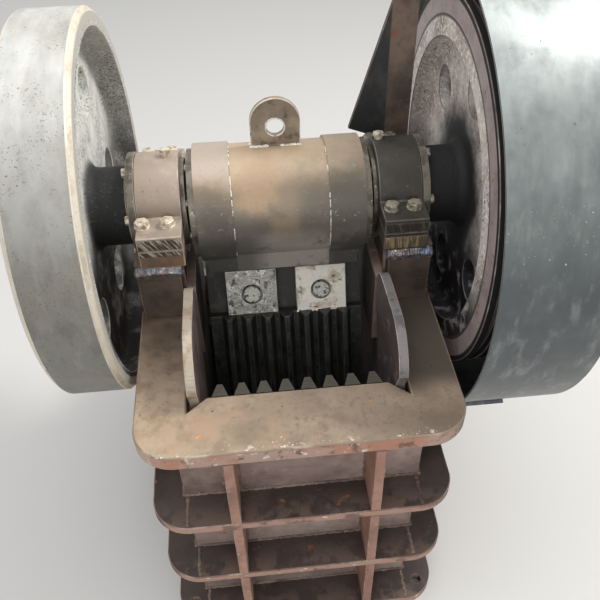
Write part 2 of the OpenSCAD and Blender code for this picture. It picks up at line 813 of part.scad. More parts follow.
// The flat bar from the side wall that the guard's lower front rests on
module guard_stay() {
  stay_length = guard_x + stay_reach - side_out;
  color("lightslategray") at_shaft() translate([side_out + stay_length / 2, 0, -guard_sag])
    rotate([-stay_angle, 0, 0]) translate([0, 0, -guard_r - seat_gap - stay_t / 2])
      cube([stay_length, stay_w, stay_t], center = true);
}

base_flange();
front_wall();
side_wall_left();
side_wall_right();
rear_wall();
lower_rib();
upper_rib();
top_flange();
front_ribs();
side_ribs_left();
side_ribs_right();
rear_ribs();
bearing_riser_left();
bearing_riser_right();
bearing_seat_left();
bearing_seat_right();
bearing_base_left();
bearing_base_right();
bearing_cap_left();
bearing_cap_right();
bearing_covers_left();
bearing_covers_right();
fixed_jaw();
cheek_plate_left();
cheek_plate_right();
toggle_block();
toggle_plate();
guard_rim();
guard_disc();
guard_post();
guard_stay();
eccentric_shaft();
flywheel();
belt_sheave();
swing_jaw();
barrel_rings();
lifting_eye();
moving_jaw();
wedge_block_left();
wedge_block_right();
wedge_bolts();
tension_rod();
tension_spring();
spring_nuts();
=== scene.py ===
import math
import random

import bmesh
import bpy
from mathutils import Matrix, Vector


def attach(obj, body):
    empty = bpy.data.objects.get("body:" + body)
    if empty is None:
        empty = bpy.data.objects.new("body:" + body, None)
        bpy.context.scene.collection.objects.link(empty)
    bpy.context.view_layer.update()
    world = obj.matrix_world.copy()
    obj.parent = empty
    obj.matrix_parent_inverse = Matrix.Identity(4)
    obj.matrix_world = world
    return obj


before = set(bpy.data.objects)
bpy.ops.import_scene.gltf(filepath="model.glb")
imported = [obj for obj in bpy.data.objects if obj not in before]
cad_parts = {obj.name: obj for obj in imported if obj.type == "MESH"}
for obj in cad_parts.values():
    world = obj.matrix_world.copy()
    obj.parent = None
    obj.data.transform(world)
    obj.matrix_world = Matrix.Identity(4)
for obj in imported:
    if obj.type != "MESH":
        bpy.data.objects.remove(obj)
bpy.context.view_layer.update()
bpy.ops.object.select_all(action="DESELECT")

# The welded base frame: front, rear and side walls of thick plate with flat ribs round them.
# Hot-rolled plate under one thin coat of brown primer, dusty, scuffed and rusting at its edges.
SHAFT_Y, SHAFT_Z = 0.090, 1.010


def tone(red, green, blue):
    """A colour given from 0 to 255 as a screen shows it, made linear."""
    return tuple(((c / 255 + 0.055) / 1.055) ** 2.4 for c in (red, green, blue)) + (1.0,)


class Coat:
    """A finish laid up in coats, each over the ones before, in the piece's coordinates."""

    def __init__(self, name, colour, rough, metal=0.0):
        self.made = bpy.data.materials.new(name)
        self.made.use_nodes = True
        self.tree = self.made.node_tree
        self.shader = self.tree.nodes["Principled BSDF"]
        where = self.add("ShaderNodeTexCoord")
        self.place = where.outputs["Object"]
        self.x, self.y, self.z = self.parts_of(self.place)
        self.face_x, self.face_y, self.face_z = self.parts_of(where.outputs["Normal"])
        self.colour, self.rough, self.metal, self.bump = colour, rough, metal, None

    def add(self, kind, **settings):
        node = self.tree.nodes.new(kind)
        for key, value in settings.items():
            setattr(node, key, value)
        return node

    def feed(self, socket, value):
        if isinstance(value, bpy.types.NodeSocket):
            self.tree.links.new(value, socket)
        else:
            socket.default_value = value

    def parts_of(self, vector):
        node = self.add("ShaderNodeSeparateXYZ")
        self.feed(node.inputs[0], vector)
        return node.outputs

    def work(self, how, one, two=0.0):
        node = self.add("ShaderNodeMath", operation=how)
        self.feed(node.inputs[0], one)
        self.feed(node.inputs[1], two)
        return node.outputs[0]

    def step(self, value, low, high):
        """0 where value is at low, 1 where it is at high, and soft between."""
        node = self.add("ShaderNodeMapRange", interpolation_type="SMOOTHSTEP")
        for socket, given in zip(node.inputs, (value, low, high)):
            self.feed(socket, given)
        return node.outputs[0]

    def level(self, low, high, of=None):
        """The same for a height in metres above the shaft's axis."""
        return self.step(of or self.z, SHAFT_Z + low, SHAFT_Z + high)

    def band(self, value, low, high, soft):
        """1 where value lies from low to high, with soft borders."""
        rise = self.step(value, low - soft, low + soft)
        return self.both(rise, self.step(value, high + soft, high - soft))

    def both(self, *masks):
        """1 where all of the masks are."""
        mask = masks[0]
        for other in masks[1:]:
            mask = self.work("MULTIPLY", mask, other)
        return mask

    def moved(self, scale, shift=0.0, turn=(0, 0, 0), of=None):
        """The piece's coordinates, or others, stretched, turned and shifted to a new patch."""
        node = self.add("ShaderNodeMapping")
        self.feed(node.inputs["Vector"], of or self.place)
        node.inputs["Location"].default_value = (shift, shift * 0.7, -shift)
        node.inputs["Rotation"].default_value = turn
        node.inputs["Scale"].default_value = scale
        return node.outputs[0]

    def cloud(self, size, stretch=(1, 1, 1), shift=0.0, detail=5.0, of=None):
        """Noise with patches of about that size in metres."""
        noise = self.add("ShaderNodeTexNoise")
        scale = [1 / (size * s) for s in stretch]
        self.feed(noise.inputs["Vector"], self.moved(scale, shift, of=of))
        noise.inputs["Scale"].default_value = 1.0
        noise.inputs["Detail"].default_value = detail
        noise.inputs["Roughness"].default_value = 0.6
        return noise.outputs["Fac"]

    def patch(self, size, share, soft=0.06, shift=0.0, **more):
        """Clouds that cover about that share of the surface."""
        edge = 0.5 + (0.5 - share) * 0.42
        return self.step(self.cloud(size, shift=shift, **more), edge - soft, edge + soft)

    def streak(self, turn, pull, size, share, soft, shift):
        """Patches drawn out round the shaft, as turning, rolling and rubbing leave."""
        return self.patch(size, share, soft, shift, stretch=(1, pull, pull), of=turn)

    def line(self, size, stretch, width=0.006, shift=0.0):
        """Thin broken lines, as scratches and drag marks leave."""
        field = self.cloud(size, stretch, shift, detail=2.0)
        return self.both(
            self.band(field, 0.5 - width, 0.5 + width, width),
            self.patch(size * 0.7, 0.35, 0.03, shift + 5),
        )

    def pits(self, size, radius, share=0.4, shift=0.0):
        """Ragged spots of mixed sizes, one in some of the cells of that size."""
        place = self.moved([1 / size] * 3, shift)
        ragged = self.add("ShaderNodeTexNoise")
        self.feed(ragged.inputs["Vector"], place)
        ragged.inputs["Scale"].default_value = 4.0
        nudged = self.add("ShaderNodeMix", data_type="VECTOR")
        nudged.inputs[0].default_value = 0.12
        self.feed(nudged.inputs[4], place)
        self.feed(nudged.inputs[5], ragged.outputs["Color"])
        cells = self.add("ShaderNodeTexVoronoi")
        self.feed(cells.inputs["Vector"], nudged.outputs[1])
        cells.inputs["Scale"].default_value = 1.0
        lot = self.parts_of(cells.outputs["Color"])
        reach = self.both(self.work("ADD", self.both(lot[1], lot[1]), 0.25), radius)
        near = self.step(self.work("SUBTRACT", cells.outputs["Distance"], reach), 0.03, -0.02)
        return self.both(near, self.step(lot[0], 1.0 - share, 1.02 - share))

    def off_shaft(self):
        return self.work("SUBTRACT", self.y, SHAFT_Y), self.work("SUBTRACT", self.z, SHAFT_Z)

    def radius(self):
        """Distance from the shaft's axis."""
        y, z = self.off_shaft()
        return self.work("SQRT", self.work("ADD", self.both(y, y), self.both(z, z)))

    def around(self):
        """(x, turn round the shaft's axis, radius) as one vector, for streaks round the shaft."""
        y, z = self.off_shaft()
        node = self.add("ShaderNodeCombineXYZ")
        self.feed(node.inputs[0], self.x)
        self.feed(node.inputs[1], self.work("ARCTAN2", y, z))
        self.feed(node.inputs[2], self.radius())
        return node.outputs[0]

    def lay(self, colour, *masks, rough=None, metal=None):
        """Lays a colour, and a roughness and metalness if given, where all the masks are 1."""
        mask = self.both(*masks)
        node = self.add("ShaderNodeMix", data_type="RGBA")
        self.feed(node.inputs[0], mask)
        self.feed(node.inputs[6], self.colour)
        self.feed(node.inputs[7], colour)
        self.colour = node.outputs[2]
        for part, value in (("rough", rough), ("metal", metal)):
            if value is not None:
                node = self.add("ShaderNodeMix", data_type="FLOAT")
                self.feed(node.inputs[0], mask)
                self.feed(node.inputs[2], getattr(self, part))
                self.feed(node.inputs[3], value)
                setattr(self, part, node.outputs[0])

    def relief(self, height, depth):
        """Raises the surface by depth metres where height is 1."""
        node = self.add("ShaderNodeBump")
        node.inputs["Distance"].default_value = depth
        self.feed(node.inputs["Height"], height)
        if self.bump:
            self.feed(node.inputs["Normal"], self.bump)
        self.bump = node.outputs[0]

    def done(self):
        self.feed(self.shader.inputs["Base Color"], self.colour)
        self.feed(self.shader.inputs["Roughness"], self.rough)
        self.feed(self.shader.inputs["Metallic"], self.metal)
        if self.bump:
            self.feed(self.shader.inputs["Normal"], self.bump)
        return self.made


def primer(name, colour, pale, dark, shift=0.0):
    """Thin primer on rolled plate: clouds of dust and grime, rust blooms, pits and scratches."""
    coat = Coat(name, colour, 0.6)
    coat.lay(pale, coat.patch(0.24, 0.45, 0.09, shift), rough=0.72)
    coat.lay(dark, coat.patch(0.12, 0.38, 0.16, shift + 3), rough=0.5)
    coat.lay(dark, coat.patch(0.016, 0.2, 0.14, shift + 4), 0.5)
    coat.lay(
        tone(146, 98, 66),
        coat.patch(0.05, 0.12, 0.03, shift + 7),
        coat.patch(0.3, 0.5, 0.04, shift + 8),
        rough=0.85,
    )
    coat.lay(pale, coat.line(0.05, (5, 1, 1), shift=shift + 1))
    coat.lay(tone(50, 42, 38), coat.pits(0.05, 0.07, 0.18, shift), rough=0.8)
    coat.relief(coat.cloud(0.02, shift=shift, detail=4), 0.0009)
    return coat


def rubbed(name, colour, steel, share=0.4, shift=0.0, grime=tone(92, 74, 62)):
    """The same primer where an edge has been knocked and rubbed, down to the steel in places."""
    coat = Coat(name, colour, 0.55)
    coat.lay(steel, coat.patch(0.06, share, 0.10, shift), rough=0.4, metal=0.2)
    coat.lay(grime, coat.patch(0.03, 0.14, 0.05, shift + 3), rough=0.8, metal=0.0)
    return coat.done()


def wear(piece, coat, edge=None):
    """Gives a piece its finish and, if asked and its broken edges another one."""
    piece.data.materials.clear()
    piece.data.materials.append(coat)
    if edge:
        piece.data.materials.append(edge)
        piece.modifiers["edge"].material = 1


def ease(name, width):
    """Breaks the sharp edges of a CAD node, as a grinder or a worn mould does."""
    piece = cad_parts[name]
    for face in piece.data.polygons:
        face.use_smooth = True
    joined = piece.modifiers.new("joined", "WELD")
    joined.merge_threshold = 0.00002
    flat = piece.modifiers.new("flat", "DECIMATE")
    flat.decimate_type, flat.angle_limit = "DISSOLVE", math.radians(0.6)
    edge = piece.modifiers.new("edge", "BEVEL")
    edge.width, edge.segments, edge.limit_method = width, 2, "ANGLE"
    edge.angle_limit = math.radians(28)
    even = piece.modifiers.new("even", "WEIGHTED_NORMAL")
    even.keep_sharp, even.weight = True, 60
    return piece


wall = primer("wall_primer", tone(154, 133, 125), tone(172, 152, 142), tone(116, 97, 91), 1.0)
# Painted shade: the side walls' inner faces, towards the chamber, are darkened.
wall.lay(tone(66, 58, 54), wall.step(wall.both(wall.x, wall.face_x), -0.05, -0.15))
wall_coat = wall.done()
# The ribs' primer is darker than the walls' in part as painted shade under the flange, and lighter
# in patches towards the front edge of their tops, where that painted shade ends.
rib = primer("rib_primer", tone(80, 68, 63), tone(90, 77, 71), tone(64, 55, 51), 2.0)
rib.lay(
    tone(112, 94, 84),
    rib.step(rib.face_z, 0.5, 0.9),
    rib.step(rib.y, -0.44, -0.52),
    rib.patch(0.05, 0.5),
)
front = rib.step(rib.face_y, -0.6, -0.9)
rib.lay(tone(170, 134, 117), front, rough=0.6)
rib.lay(tone(122, 92, 78), front, rib.patch(0.06, 0.35, shift=6))
rib.lay(tone(214, 202, 188), front, rib.patch(0.028, 0.16, 0.03, shift=4))
rib_coat = rib.done()
post = primer("front_rib_primer", tone(162, 120, 102), tone(178, 138, 119), tone(128, 93, 79), 5.0)
post.lay(
    tone(214, 200, 186), post.step(post.face_y, -0.6, -0.9), post.patch(0.02, 0.08, 0.03, shift=9)
)
post_coat = post.done()
rib_edge = rubbed("rubbed_rib_edge", tone(132, 104, 91), tone(176, 156, 142), 0.35, 3.0)

for name in ("front_wall", "side_wall_left", "side_wall_right", "rear_wall"):
    wear(ease(name, 0.002), wall_coat, edge=rib_edge)
for name in ("base_flange", "lower_rib", "upper_rib"):
    wear(ease(name, 0.003), rib_coat, edge=rib_edge)
for name in ("front_ribs", "side_ribs_left", "side_ribs_right", "rear_ribs"):
    wear(ease(name, 0.002), post_coat, edge=rib_edge)

# The weld beads that hold the ribs and posts to the walls, run by hand with a stick electrode.
# Each is a row of overlapping drops, under a coat of primer like the plates.


def weld_run(name, runs, size, pitch, rough_by=0.0015, melt=None):
    """Beads of drops along lines of points, joined into one piece, and melted together if fat."""
    beads = []
    for points in runs:
        line = bpy.data.curves.new("run", "CURVE")
        line.dimensions = "3D"
        spline = line.splines.new("POLY")
        spline.points.add(len(points) - 1)
        for knot, place in zip(spline.points, points):
            knot.co = (*place, 1)
        guide = bpy.data.objects.new("run", line)
        bpy.context.scene.collection.objects.link(guide)
        bpy.ops.object.select_all(action="DESELECT")
        bpy.ops.mesh.primitive_ico_sphere_add(subdivisions=2, radius=size)
        bead = bpy.context.object
        bpy.ops.object.mode_set(mode="EDIT")
        bpy.ops.transform.resize(value=(pitch * 0.9 / size, 1.0, 0.8))
        bpy.ops.object.mode_set(mode="OBJECT")
        row = bead.modifiers.new("row", "ARRAY")
        row.fit_type, row.curve = "FIT_CURVE", guide
        row.use_relative_offset, row.use_constant_offset = False, True
        row.constant_offset_displace = (pitch, 0, 0)
        follow = bead.modifiers.new("follow", "CURVE")
        follow.object = guide
        grain = bpy.data.textures.new("slag", "CLOUDS")
        grain.noise_scale = size * 1.6
        rough = bead.modifiers.new("rough", "DISPLACE")
        rough.texture, rough.strength = grain, rough_by * 4
        rough.texture_coords = "GLOBAL"
        for step in ("row", "follow", "rough"):
            bpy.ops.object.modifier_apply(modifier=step)
        bpy.data.objects.remove(guide)
        beads.append(bead)
    piece = join(name, beads)
    if melt:
        bpy.context.view_layer.objects.active = piece
        skin = piece.modifiers.new("skin", "REMESH")
        skin.mode, skin.voxel_size, skin.use_smooth_shade = "VOXEL", melt, True
        calm = piece.modifiers.new("calm", "SMOOTH")
        calm.factor, calm.iterations = 0.5, 3
        for step in ("skin", "calm"):
            bpy.ops.object.modifier_apply(modifier=step)
    return piece


def join(name, parts):
    """Joins finished parts into one piece at the origin."""
    bpy.ops.object.select_all(action="DESELECT")
    for part in parts:
        part.select_set(True)
    bpy.context.view_layer.objects.active = parts[0]
    if len(parts) > 1:
        bpy.ops.object.join()
    piece = bpy.context.object
    bpy.ops.object.transform_apply(location=True, rotation=True, scale=True)
    piece.name = name
    bpy.ops.object.shade_smooth_by_angle(angle=math.radians(40))
    bpy.ops.object.select_all(action="DESELECT")
    return piece


WALL_X, WALL_Y, EDGE_Y = 0.288, 0.431, 0.525
RIB_TOPS, NEXT_FEET = (0.030, 0.273, 0.516), (0.249, 0.492, 0.753)
PROUD = 0.001
weld_y = -WALL_Y - PROUD
runs = []
for top in RIB_TOPS:
    z = top + PROUD
    runs.append([(-0.155, weld_y, z), (0.155, weld_y, z)])
    for side in (-1, 1):
        weld_x, inlay_x, inlay_z = side * (WALL_X + PROUD), side * 0.280, z - 0.002
        runs.append([(side * 0.180, weld_y, z), (side * WALL_X, weld_y, z)])
        runs.append([(weld_x, -WALL_Y, z), (weld_x, WALL_Y, z)])
        runs.append([(inlay_x, -WALL_Y - 0.01, inlay_z), (inlay_x, -EDGE_Y + 0.012, inlay_z)])
for post_side in (-0.178, -0.152, 0.152, 0.178):
    for low, high in zip(RIB_TOPS, NEXT_FEET):
        runs.append([(post_side, weld_y, low), (post_side, weld_y, high)])
rib_welds = weld_run("rib_welds", runs, 0.005, 0.006)
weld = primer("painted_weld", tone(132, 112, 101), tone(168, 150, 136), tone(88, 72, 64), 9.0)
wear(rib_welds, weld.done())
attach(rib_welds, "frame")

# The top flange: one thick flame-cut plate, a bar across the feed and two arms to the bearings.
# Its primer is dusty and tan, blotched orange where it rusts, chipped white along the front edge;
# it has painted light on its left side and painted shade of the guard on its right.
flange = Coat("flange_primer", tone(158, 138, 117), 0.58)
flange.lay(tone(176, 156, 133), flange.patch(0.26, 0.42, 0.10, 11.0), rough=0.7)
flange.lay(tone(144, 125, 105), flange.patch(0.10, 0.34, 0.10, 12.0))
flange.lay(tone(136, 118, 100), flange.patch(0.018, 0.28, 0.10, 13.0), flange.patch(0.2, 0.6))
flange.lay(tone(170, 152, 130), flange.line(0.06, (4, 1, 1), 0.003, 3.0))
# Painted light: the left side of the flange is lighter.
flange.lay(tone(186, 165, 139), flange.step(flange.x, -0.10, -0.34), 0.75)
flange.lay(
    tone(150, 128, 106), flange.patch(0.05, 0.34, 0.10, 17.0), flange.step(flange.x, 0.0, -0.2)
)
flange.lay(
    tone(142, 122, 102), flange.patch(0.014, 0.20, 0.06, 18.0), flange.patch(0.10, 0.5, 0.1, 19.0)
)
back = flange.step(flange.y, -0.40, -0.12)
flange.lay(tone(108, 91, 77), back)
flange.lay(tone(86, 73, 62), back, flange.patch(0.08, 0.4, 0.10, 2.0))
# Painted shade of the guard: the right side is darker in broad patches, darkest on the right arm
# towards the back.
flange.lay(
    tone(116, 101, 86), flange.step(flange.x, 0.05, 0.34), flange.patch(0.22, 0.62, 0.14, 8.0)
)
flange.lay(tone(84, 75, 64), flange.step(flange.x, 0.19, 0.25), flange.step(flange.y, -0.42, -0.34))
left = flange.step(flange.x, 0.10, -0.22)
fore = flange.step(flange.y, -0.36, -0.46)
flange.lay(tone(176, 148, 122), left, fore, flange.patch(0.07, 0.36, 0.10, 14.0))
rust = flange.both(fore, flange.pits(0.050, 0.12, 0.50, 2.0))
flange.lay(tone(190, 142, 100), rust, rough=0.8)
flange.lay(tone(226, 166, 92), rust, flange.patch(0.012, 0.4), rough=0.8)
flange.lay(tone(58, 49, 43), flange.pits(0.022, 0.08, 0.30, 5.0), rough=0.85)
flange.lay(
    tone(58, 49, 43), flange.patch(0.008, 0.10, 0.02, 6.0), flange.patch(0.15, 0.4, 0.04, 7.0)
)
front = flange.step(flange.face_y, -0.6, -0.9)
flange.lay(tone(176, 146, 132), front)
flange.lay(tone(178, 128, 104), front, flange.patch(0.12, 0.40, 0.05, 21.0))
flange.lay(tone(116, 92, 82), front, flange.patch(0.03, 0.28, 0.06, 22.0))
lip = flange.step(flange.y, -0.498, -0.522)
flange.lay(
    tone(222, 210, 196),
    lip,
    flange.patch(0.020, 0.26, 0.03, 25.0),
    flange.patch(0.12, 0.55, 0.04, 26.0),
    rough=0.5,
)
flange.relief(flange.cloud(0.06, shift=30, detail=3), 0.0035)
flange.relief(flange.cloud(0.008, shift=31, detail=3), 0.0006)
flange_coat = flange.done()
flange_edge = rubbed("rubbed_flange_edge", tone(150, 128, 110), tone(182, 164, 144), 0.35, 12.0)
wear(ease("top_flange", 0.004), flange_coat, edge=flange_edge)

# Weld spatter: drops of white slag that flew from the torch and stuck along the feed edge.
# Small ones, in clusters where the welder stood.
FLANGE_Z, FEED_Y, MOUTH_Y, MOUTH_X = 0.7928, -0.5185, -0.445, 0.25
chance = random.Random(23)
bpy.ops.mesh.primitive_ico_sphere_add(subdivisions=1, radius=1.0)
pellet = bpy.context.object
drops = bmesh.new()
for cluster in range(10):
    along = chance.uniform(-0.33, 0.33)
    depth = chance.choice((-0.518, -0.517, -0.515, -0.512, -0.500, -0.46))
    heart = Vector((along, depth, FLANGE_Z))
    for one in range(chance.randint(3, 11)):
        size = chance.uniform(0.0006, 0.0013) * chance.choice((1.0, 1.0, 1.0, 2.0))
        spot = heart + Vector((chance.gauss(0, 0.014), chance.gauss(0, 0.005), 0))
        spot.y = max(spot.y, FEED_Y)
        over_mouth = spot.y > MOUTH_Y and abs(spot.x) < MOUTH_X
        if abs(spot.x) < 0.34 and not over_mouth:
            drops.from_mesh(pellet.data)
            drops.verts.ensure_lookup_table()
            for corner in drops.verts[-len(pellet.data.vertices):]:
                flat = Vector((corner.co.x, corner.co.y, corner.co.z * 0.5))
                corner.co = spot + flat * size
drops.to_mesh(pellet.data)
drops.free()
spatter = join("spatter", [pellet])
slag = Coat("slag_white", tone(226, 216, 202), 0.5)
slag.lay(tone(168, 150, 132), slag.patch(0.01, 0.4))
wear(spatter, slag.done())
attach(spatter, "frame")

# The risers that carry the bearing housings, the pads on top of them, and the guard's post.
# All in brown primer, with painted shade on the risers' inner sides and where the post faces the
# guard.
riser = primer("riser_primer", tone(92, 77, 67), tone(110, 93, 81), tone(66, 56, 50), 33.0)
# Painted shade on the risers' inner sides.
riser.lay(tone(50, 43, 39), riser.step(riser.both(riser.x, riser.face_x), -0.05, -0.15))
riser_coat = riser.done()
riser_edge = rubbed("rubbed_riser_edge", tone(118, 100, 88), tone(158, 142, 128), 0.4, 34.0)
for name in ("bearing_riser_left", "bearing_riser_right"):
    wear(ease(name, 0.002), riser_coat, edge=riser_edge)
stand = primer("post_primer", tone(112, 96, 84), tone(132, 114, 100), tone(76, 66, 60), 37.0)
# Painted shade on the post's flank.
flank = stand.step(stand.x, 0.302, 0.298)
stand.lay(tone(54, 55, 56), flank)
stand.lay(tone(74, 72, 70), flank, stand.patch(0.08, 0.35, 0.08, 3.0))
wear(ease("guard_post", 0.002), stand.done(), edge=riser_edge)
pad = primer("pad_steel", tone(116, 99, 88), tone(134, 118, 108), tone(80, 70, 68), 35.0)
pad_coat = pad.done()
for name in ("bearing_seat_left", "bearing_seat_right"):
    wear(ease(name, 0.0015), pad_coat, edge=riser_edge)

# The thick weld runs between each bearing base and its riser, still blue and violet with heat.
# Fat passes laid one under the other until the corner was full.
heat = Coat("heat_tint_weld", tone(128, 122, 118), 0.34, 0.45)
heat.lay(tone(104, 118, 142), heat.patch(0.022, 0.40, 0.08, 2.0))
heat.lay(tone(104, 86, 100), heat.patch(0.018, 0.30, 0.08, 6.0))
heat.lay(tone(214, 212, 206), heat.patch(0.014, 0.24, 0.05, 9.0), rough=0.42)
heat.lay(tone(140, 112, 84), heat.patch(0.03, 0.20, 0.05, 13.0))
heat.lay(tone(44, 42, 46), heat.patch(0.010, 0.20, 0.05, 15.0))
heat_coat = heat.done()
runs = []
for side in (-1, 1):
    for drop, out in ((0.056, 0.186), (0.064, 0.190), (0.074, 0.185)):
        y, z = SHAFT_Y - out, SHAFT_Z - drop
        runs.append(
            [(side * 0.246, y, z), (side * 0.300, y, z + 0.002), (side * 0.351, y, z - 0.001)]
        )
    y, z = SHAFT_Y + 0.197, SHAFT_Z - 0.047
    runs.append([(side * 0.236, y, z), (side * 0.334, y, z)])
seat_welds = weld_run("seat_welds", runs, 0.0125, 0.0060, 0.0022, 0.0018)
wear(seat_welds, heat_coat)
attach(seat_welds, "frame")

# The bearing housings: cast steel halves, turned outside, bolted together on wide flanges.
# The left one is dusty and pale, partly as painted light; the right one is dark with old oil and
# painted shade of the guard; both were gouged by the torch.


def gouged(coat, pale, dark, low, high, lean):
    """Torch gouges across the front of a flange, between two heights."""
    face = coat.both(coat.step(coat.face_y, -0.5, -0.8), coat.band(coat.z, low, high, 0.003))
    slant = coat.moved((1, 1, 1), turn=(0, math.radians(lean), 0))
    field = coat.cloud(0.0045, (1, 12, 12), 1.0, detail=3, of=slant)
    coat.lay(dark, face, coat.step(field, 0.56, 0.44), rough=0.75)
    coat.lay(pale, face, coat.step(field, 0.54, 0.62), rough=0.4, metal=0.2)
    coat.relief(coat.both(face, field), 0.004)


cap = Coat("cap_left_steel", tone(164, 148, 133), 0.42, 0.1)
# Painted shade: the left housing is darker low down.
cap.lay(tone(126, 111, 97), cap.level(0.085, 0.04))
# Painted light: its up-facing faces at the flange are lighter.
cap.lay(tone(186, 174, 158), cap.step(cap.face_z, 0.85, 0.98), cap.level(0.04, 0.03))
cap.lay(tone(176, 161, 146), cap.patch(0.05, 0.25, 0.12, 4.0))
cap.lay(
    tone(146, 108, 96),
    cap.patch(0.006, 0.14, 0.03),
    cap.band(cap.z, SHAFT_Z + 0.06, SHAFT_Z + 0.11, 0.01),
)
cap.lay(tone(104, 88, 72), cap.level(-0.016, -0.022))
cap.lay(tone(128, 98, 74), cap.level(-0.016, -0.026), cap.patch(0.03, 0.5, 0.08, 6.0))
gouged(cap, tone(186, 178, 160), tone(62, 55, 45), SHAFT_Z - 0.016, SHAFT_Z + 0.030, 34)
cap.lay(tone(90, 78, 66), cap.pits(0.03, 0.10, 0.35, 3.0))
cap.relief(cap.cloud(0.006, detail=3), 0.0004)
cap_left = cap.done()
# The right housing's dark tone is old oil and painted shade of the guard; the two housings are lit
# and shaded copies.
cap = Coat("cap_right_steel", tone(60, 56, 49), 0.46, 0.05)
cap.lay(tone(76, 71, 63), cap.patch(0.07, 0.35, 0.10))
cap.lay(tone(44, 43, 40), cap.patch(0.08, 0.35, 0.10, 5.0))
cap.lay(tone(138, 130, 116), cap.patch(0.006, 0.05, 0.03, 4.0))
cap.lay(
    tone(136, 120, 90),
    cap.step(cap.face_y, -0.5, -0.8),
    cap.band(cap.z, SHAFT_Z - 0.043, SHAFT_Z - 0.012, 0.003),
)
gouged(cap, tone(160, 144, 110), tone(88, 72, 54), SHAFT_Z - 0.044, SHAFT_Z - 0.012, 4)
gouged(cap, tone(86, 80, 70), tone(46, 42, 37), SHAFT_Z - 0.004, SHAFT_Z + 0.026, 12)
cap.relief(cap.cloud(0.006, detail=3), 0.0006)
cap_right = cap.done()
# The rubbed edges too are lighter on the left as painted light and darker on the right as painted
# shade.
cap_edge_left = rubbed("rubbed_cap_left", tone(158, 143, 127), tone(194, 180, 162), 0.4, 1.0)
cap_edge_right = rubbed("rubbed_cap_right", tone(82, 77, 69), tone(118, 110, 98), 0.35, 2.0)
for side, finish, edge in (("left", cap_left, cap_edge_left), ("right", cap_right, cap_edge_right)):
    wear(ease("bearing_cap_" + side, 0.003), finish, edge=edge)
    wear(ease("bearing_base_" + side, 0.003), finish, edge=edge)
cover = Coat("cover_steel", tone(126, 119, 108), 0.38, 0.4)
cover.lay(tone(86, 81, 72), cover.patch(0.05, 0.4))
cover.lay(tone(176, 168, 152), cover.patch(0.012, 0.16, 0.04, 3.0))
cover_coat = cover.done()
for side, edge in (("left", cap_edge_left), ("right", cap_edge_right)):
    wear(ease("bearing_covers_" + side, 0.001), cover_coat, edge=edge)


HAIR = 0.0001


def choose(piece, kind, test):
    """Selects the faces or edges of a piece in edit mode by the middle of each."""
    work = bmesh.from_edit_mesh(piece.data)
    for part in list(work.faces) + list(work.edges) + list(work.verts):
        part.select = False
    work.select_flush(False)
    for part in getattr(work, kind):
        corners = [corner.co for corner in part.verts]
        if test(sum(corners, Vector()) / len(corners)):
            part.select = True
    work.select_flush_mode()
    bmesh.update_edit_mesh(piece.data)


def hex_bolt(across, height, washer, thick):
    """A hexagon head with broken edges on a round washer, standing on the floor at the origin."""
    where = (0, 0, thick + height / 2)
    corner = across / math.sqrt(3)
    bpy.ops.mesh.primitive_cylinder_add(vertices=6, radius=corner, depth=height, location=where)
    bolt = bpy.context.object
    bpy.ops.object.transform_apply(location=True, rotation=True, scale=True)
    bpy.ops.object.mode_set(mode="EDIT")
    top = thick + height
    choose(bolt, "edges", lambda mid: mid.z > top - HAIR and mid.xy.length > across * 0.3)
    bpy.ops.mesh.bevel(offset=across * 0.08, segments=3, affect="EDGES")
    where = (0, 0, thick / 2)
    bpy.ops.mesh.primitive_cylinder_add(vertices=28, radius=washer, depth=thick, location=where)
    choose(bolt, "edges", lambda mid: abs(mid.z - thick) < HAIR and mid.xy.length > washer * 0.9)
    bpy.ops.mesh.bevel(offset=thick * 0.3, segments=2, affect="EDGES")
    bpy.ops.object.mode_set(mode="OBJECT")
    return bolt


def place_all(name, pattern, places):
    """Copies of one part at those places, joined into one piece."""
    parts = []
    for place in places:
        part = pattern.copy()
        part.data = pattern.data.copy()
        part.data.transform(place)
        bpy.context.scene.collection.objects.link(part)
        parts.append(part)
    bpy.data.objects.remove(pattern)
    return join(name, parts)


# The bolts: four M20 through each cap, small ones round the covers, and the filler plugs.
# Zinc-pale, lighter on the left as painted light and dull on the right as painted shade of the
# guard, with brown grime on both.
# The left bolts are lighter as painted light.
bolt_steel = Coat("bolt_left_steel", tone(222, 211, 192), 0.36, 0.3)
bolt_steel.lay(tone(168, 150, 124), bolt_steel.patch(0.012, 0.35), rough=0.6)
bolt_steel.lay(tone(120, 104, 84), bolt_steel.patch(0.005, 0.12, 0.03, 3.0), rough=0.7)
bolt_left = bolt_steel.done()
# The right bolts are darker as painted shade of the guard.
bolt_steel = Coat("bolt_right_steel", tone(160, 152, 138), 0.42, 0.3)
bolt_steel.lay(tone(108, 98, 84), bolt_steel.patch(0.012, 0.4), rough=0.6)
bolt_right = bolt_steel.done()
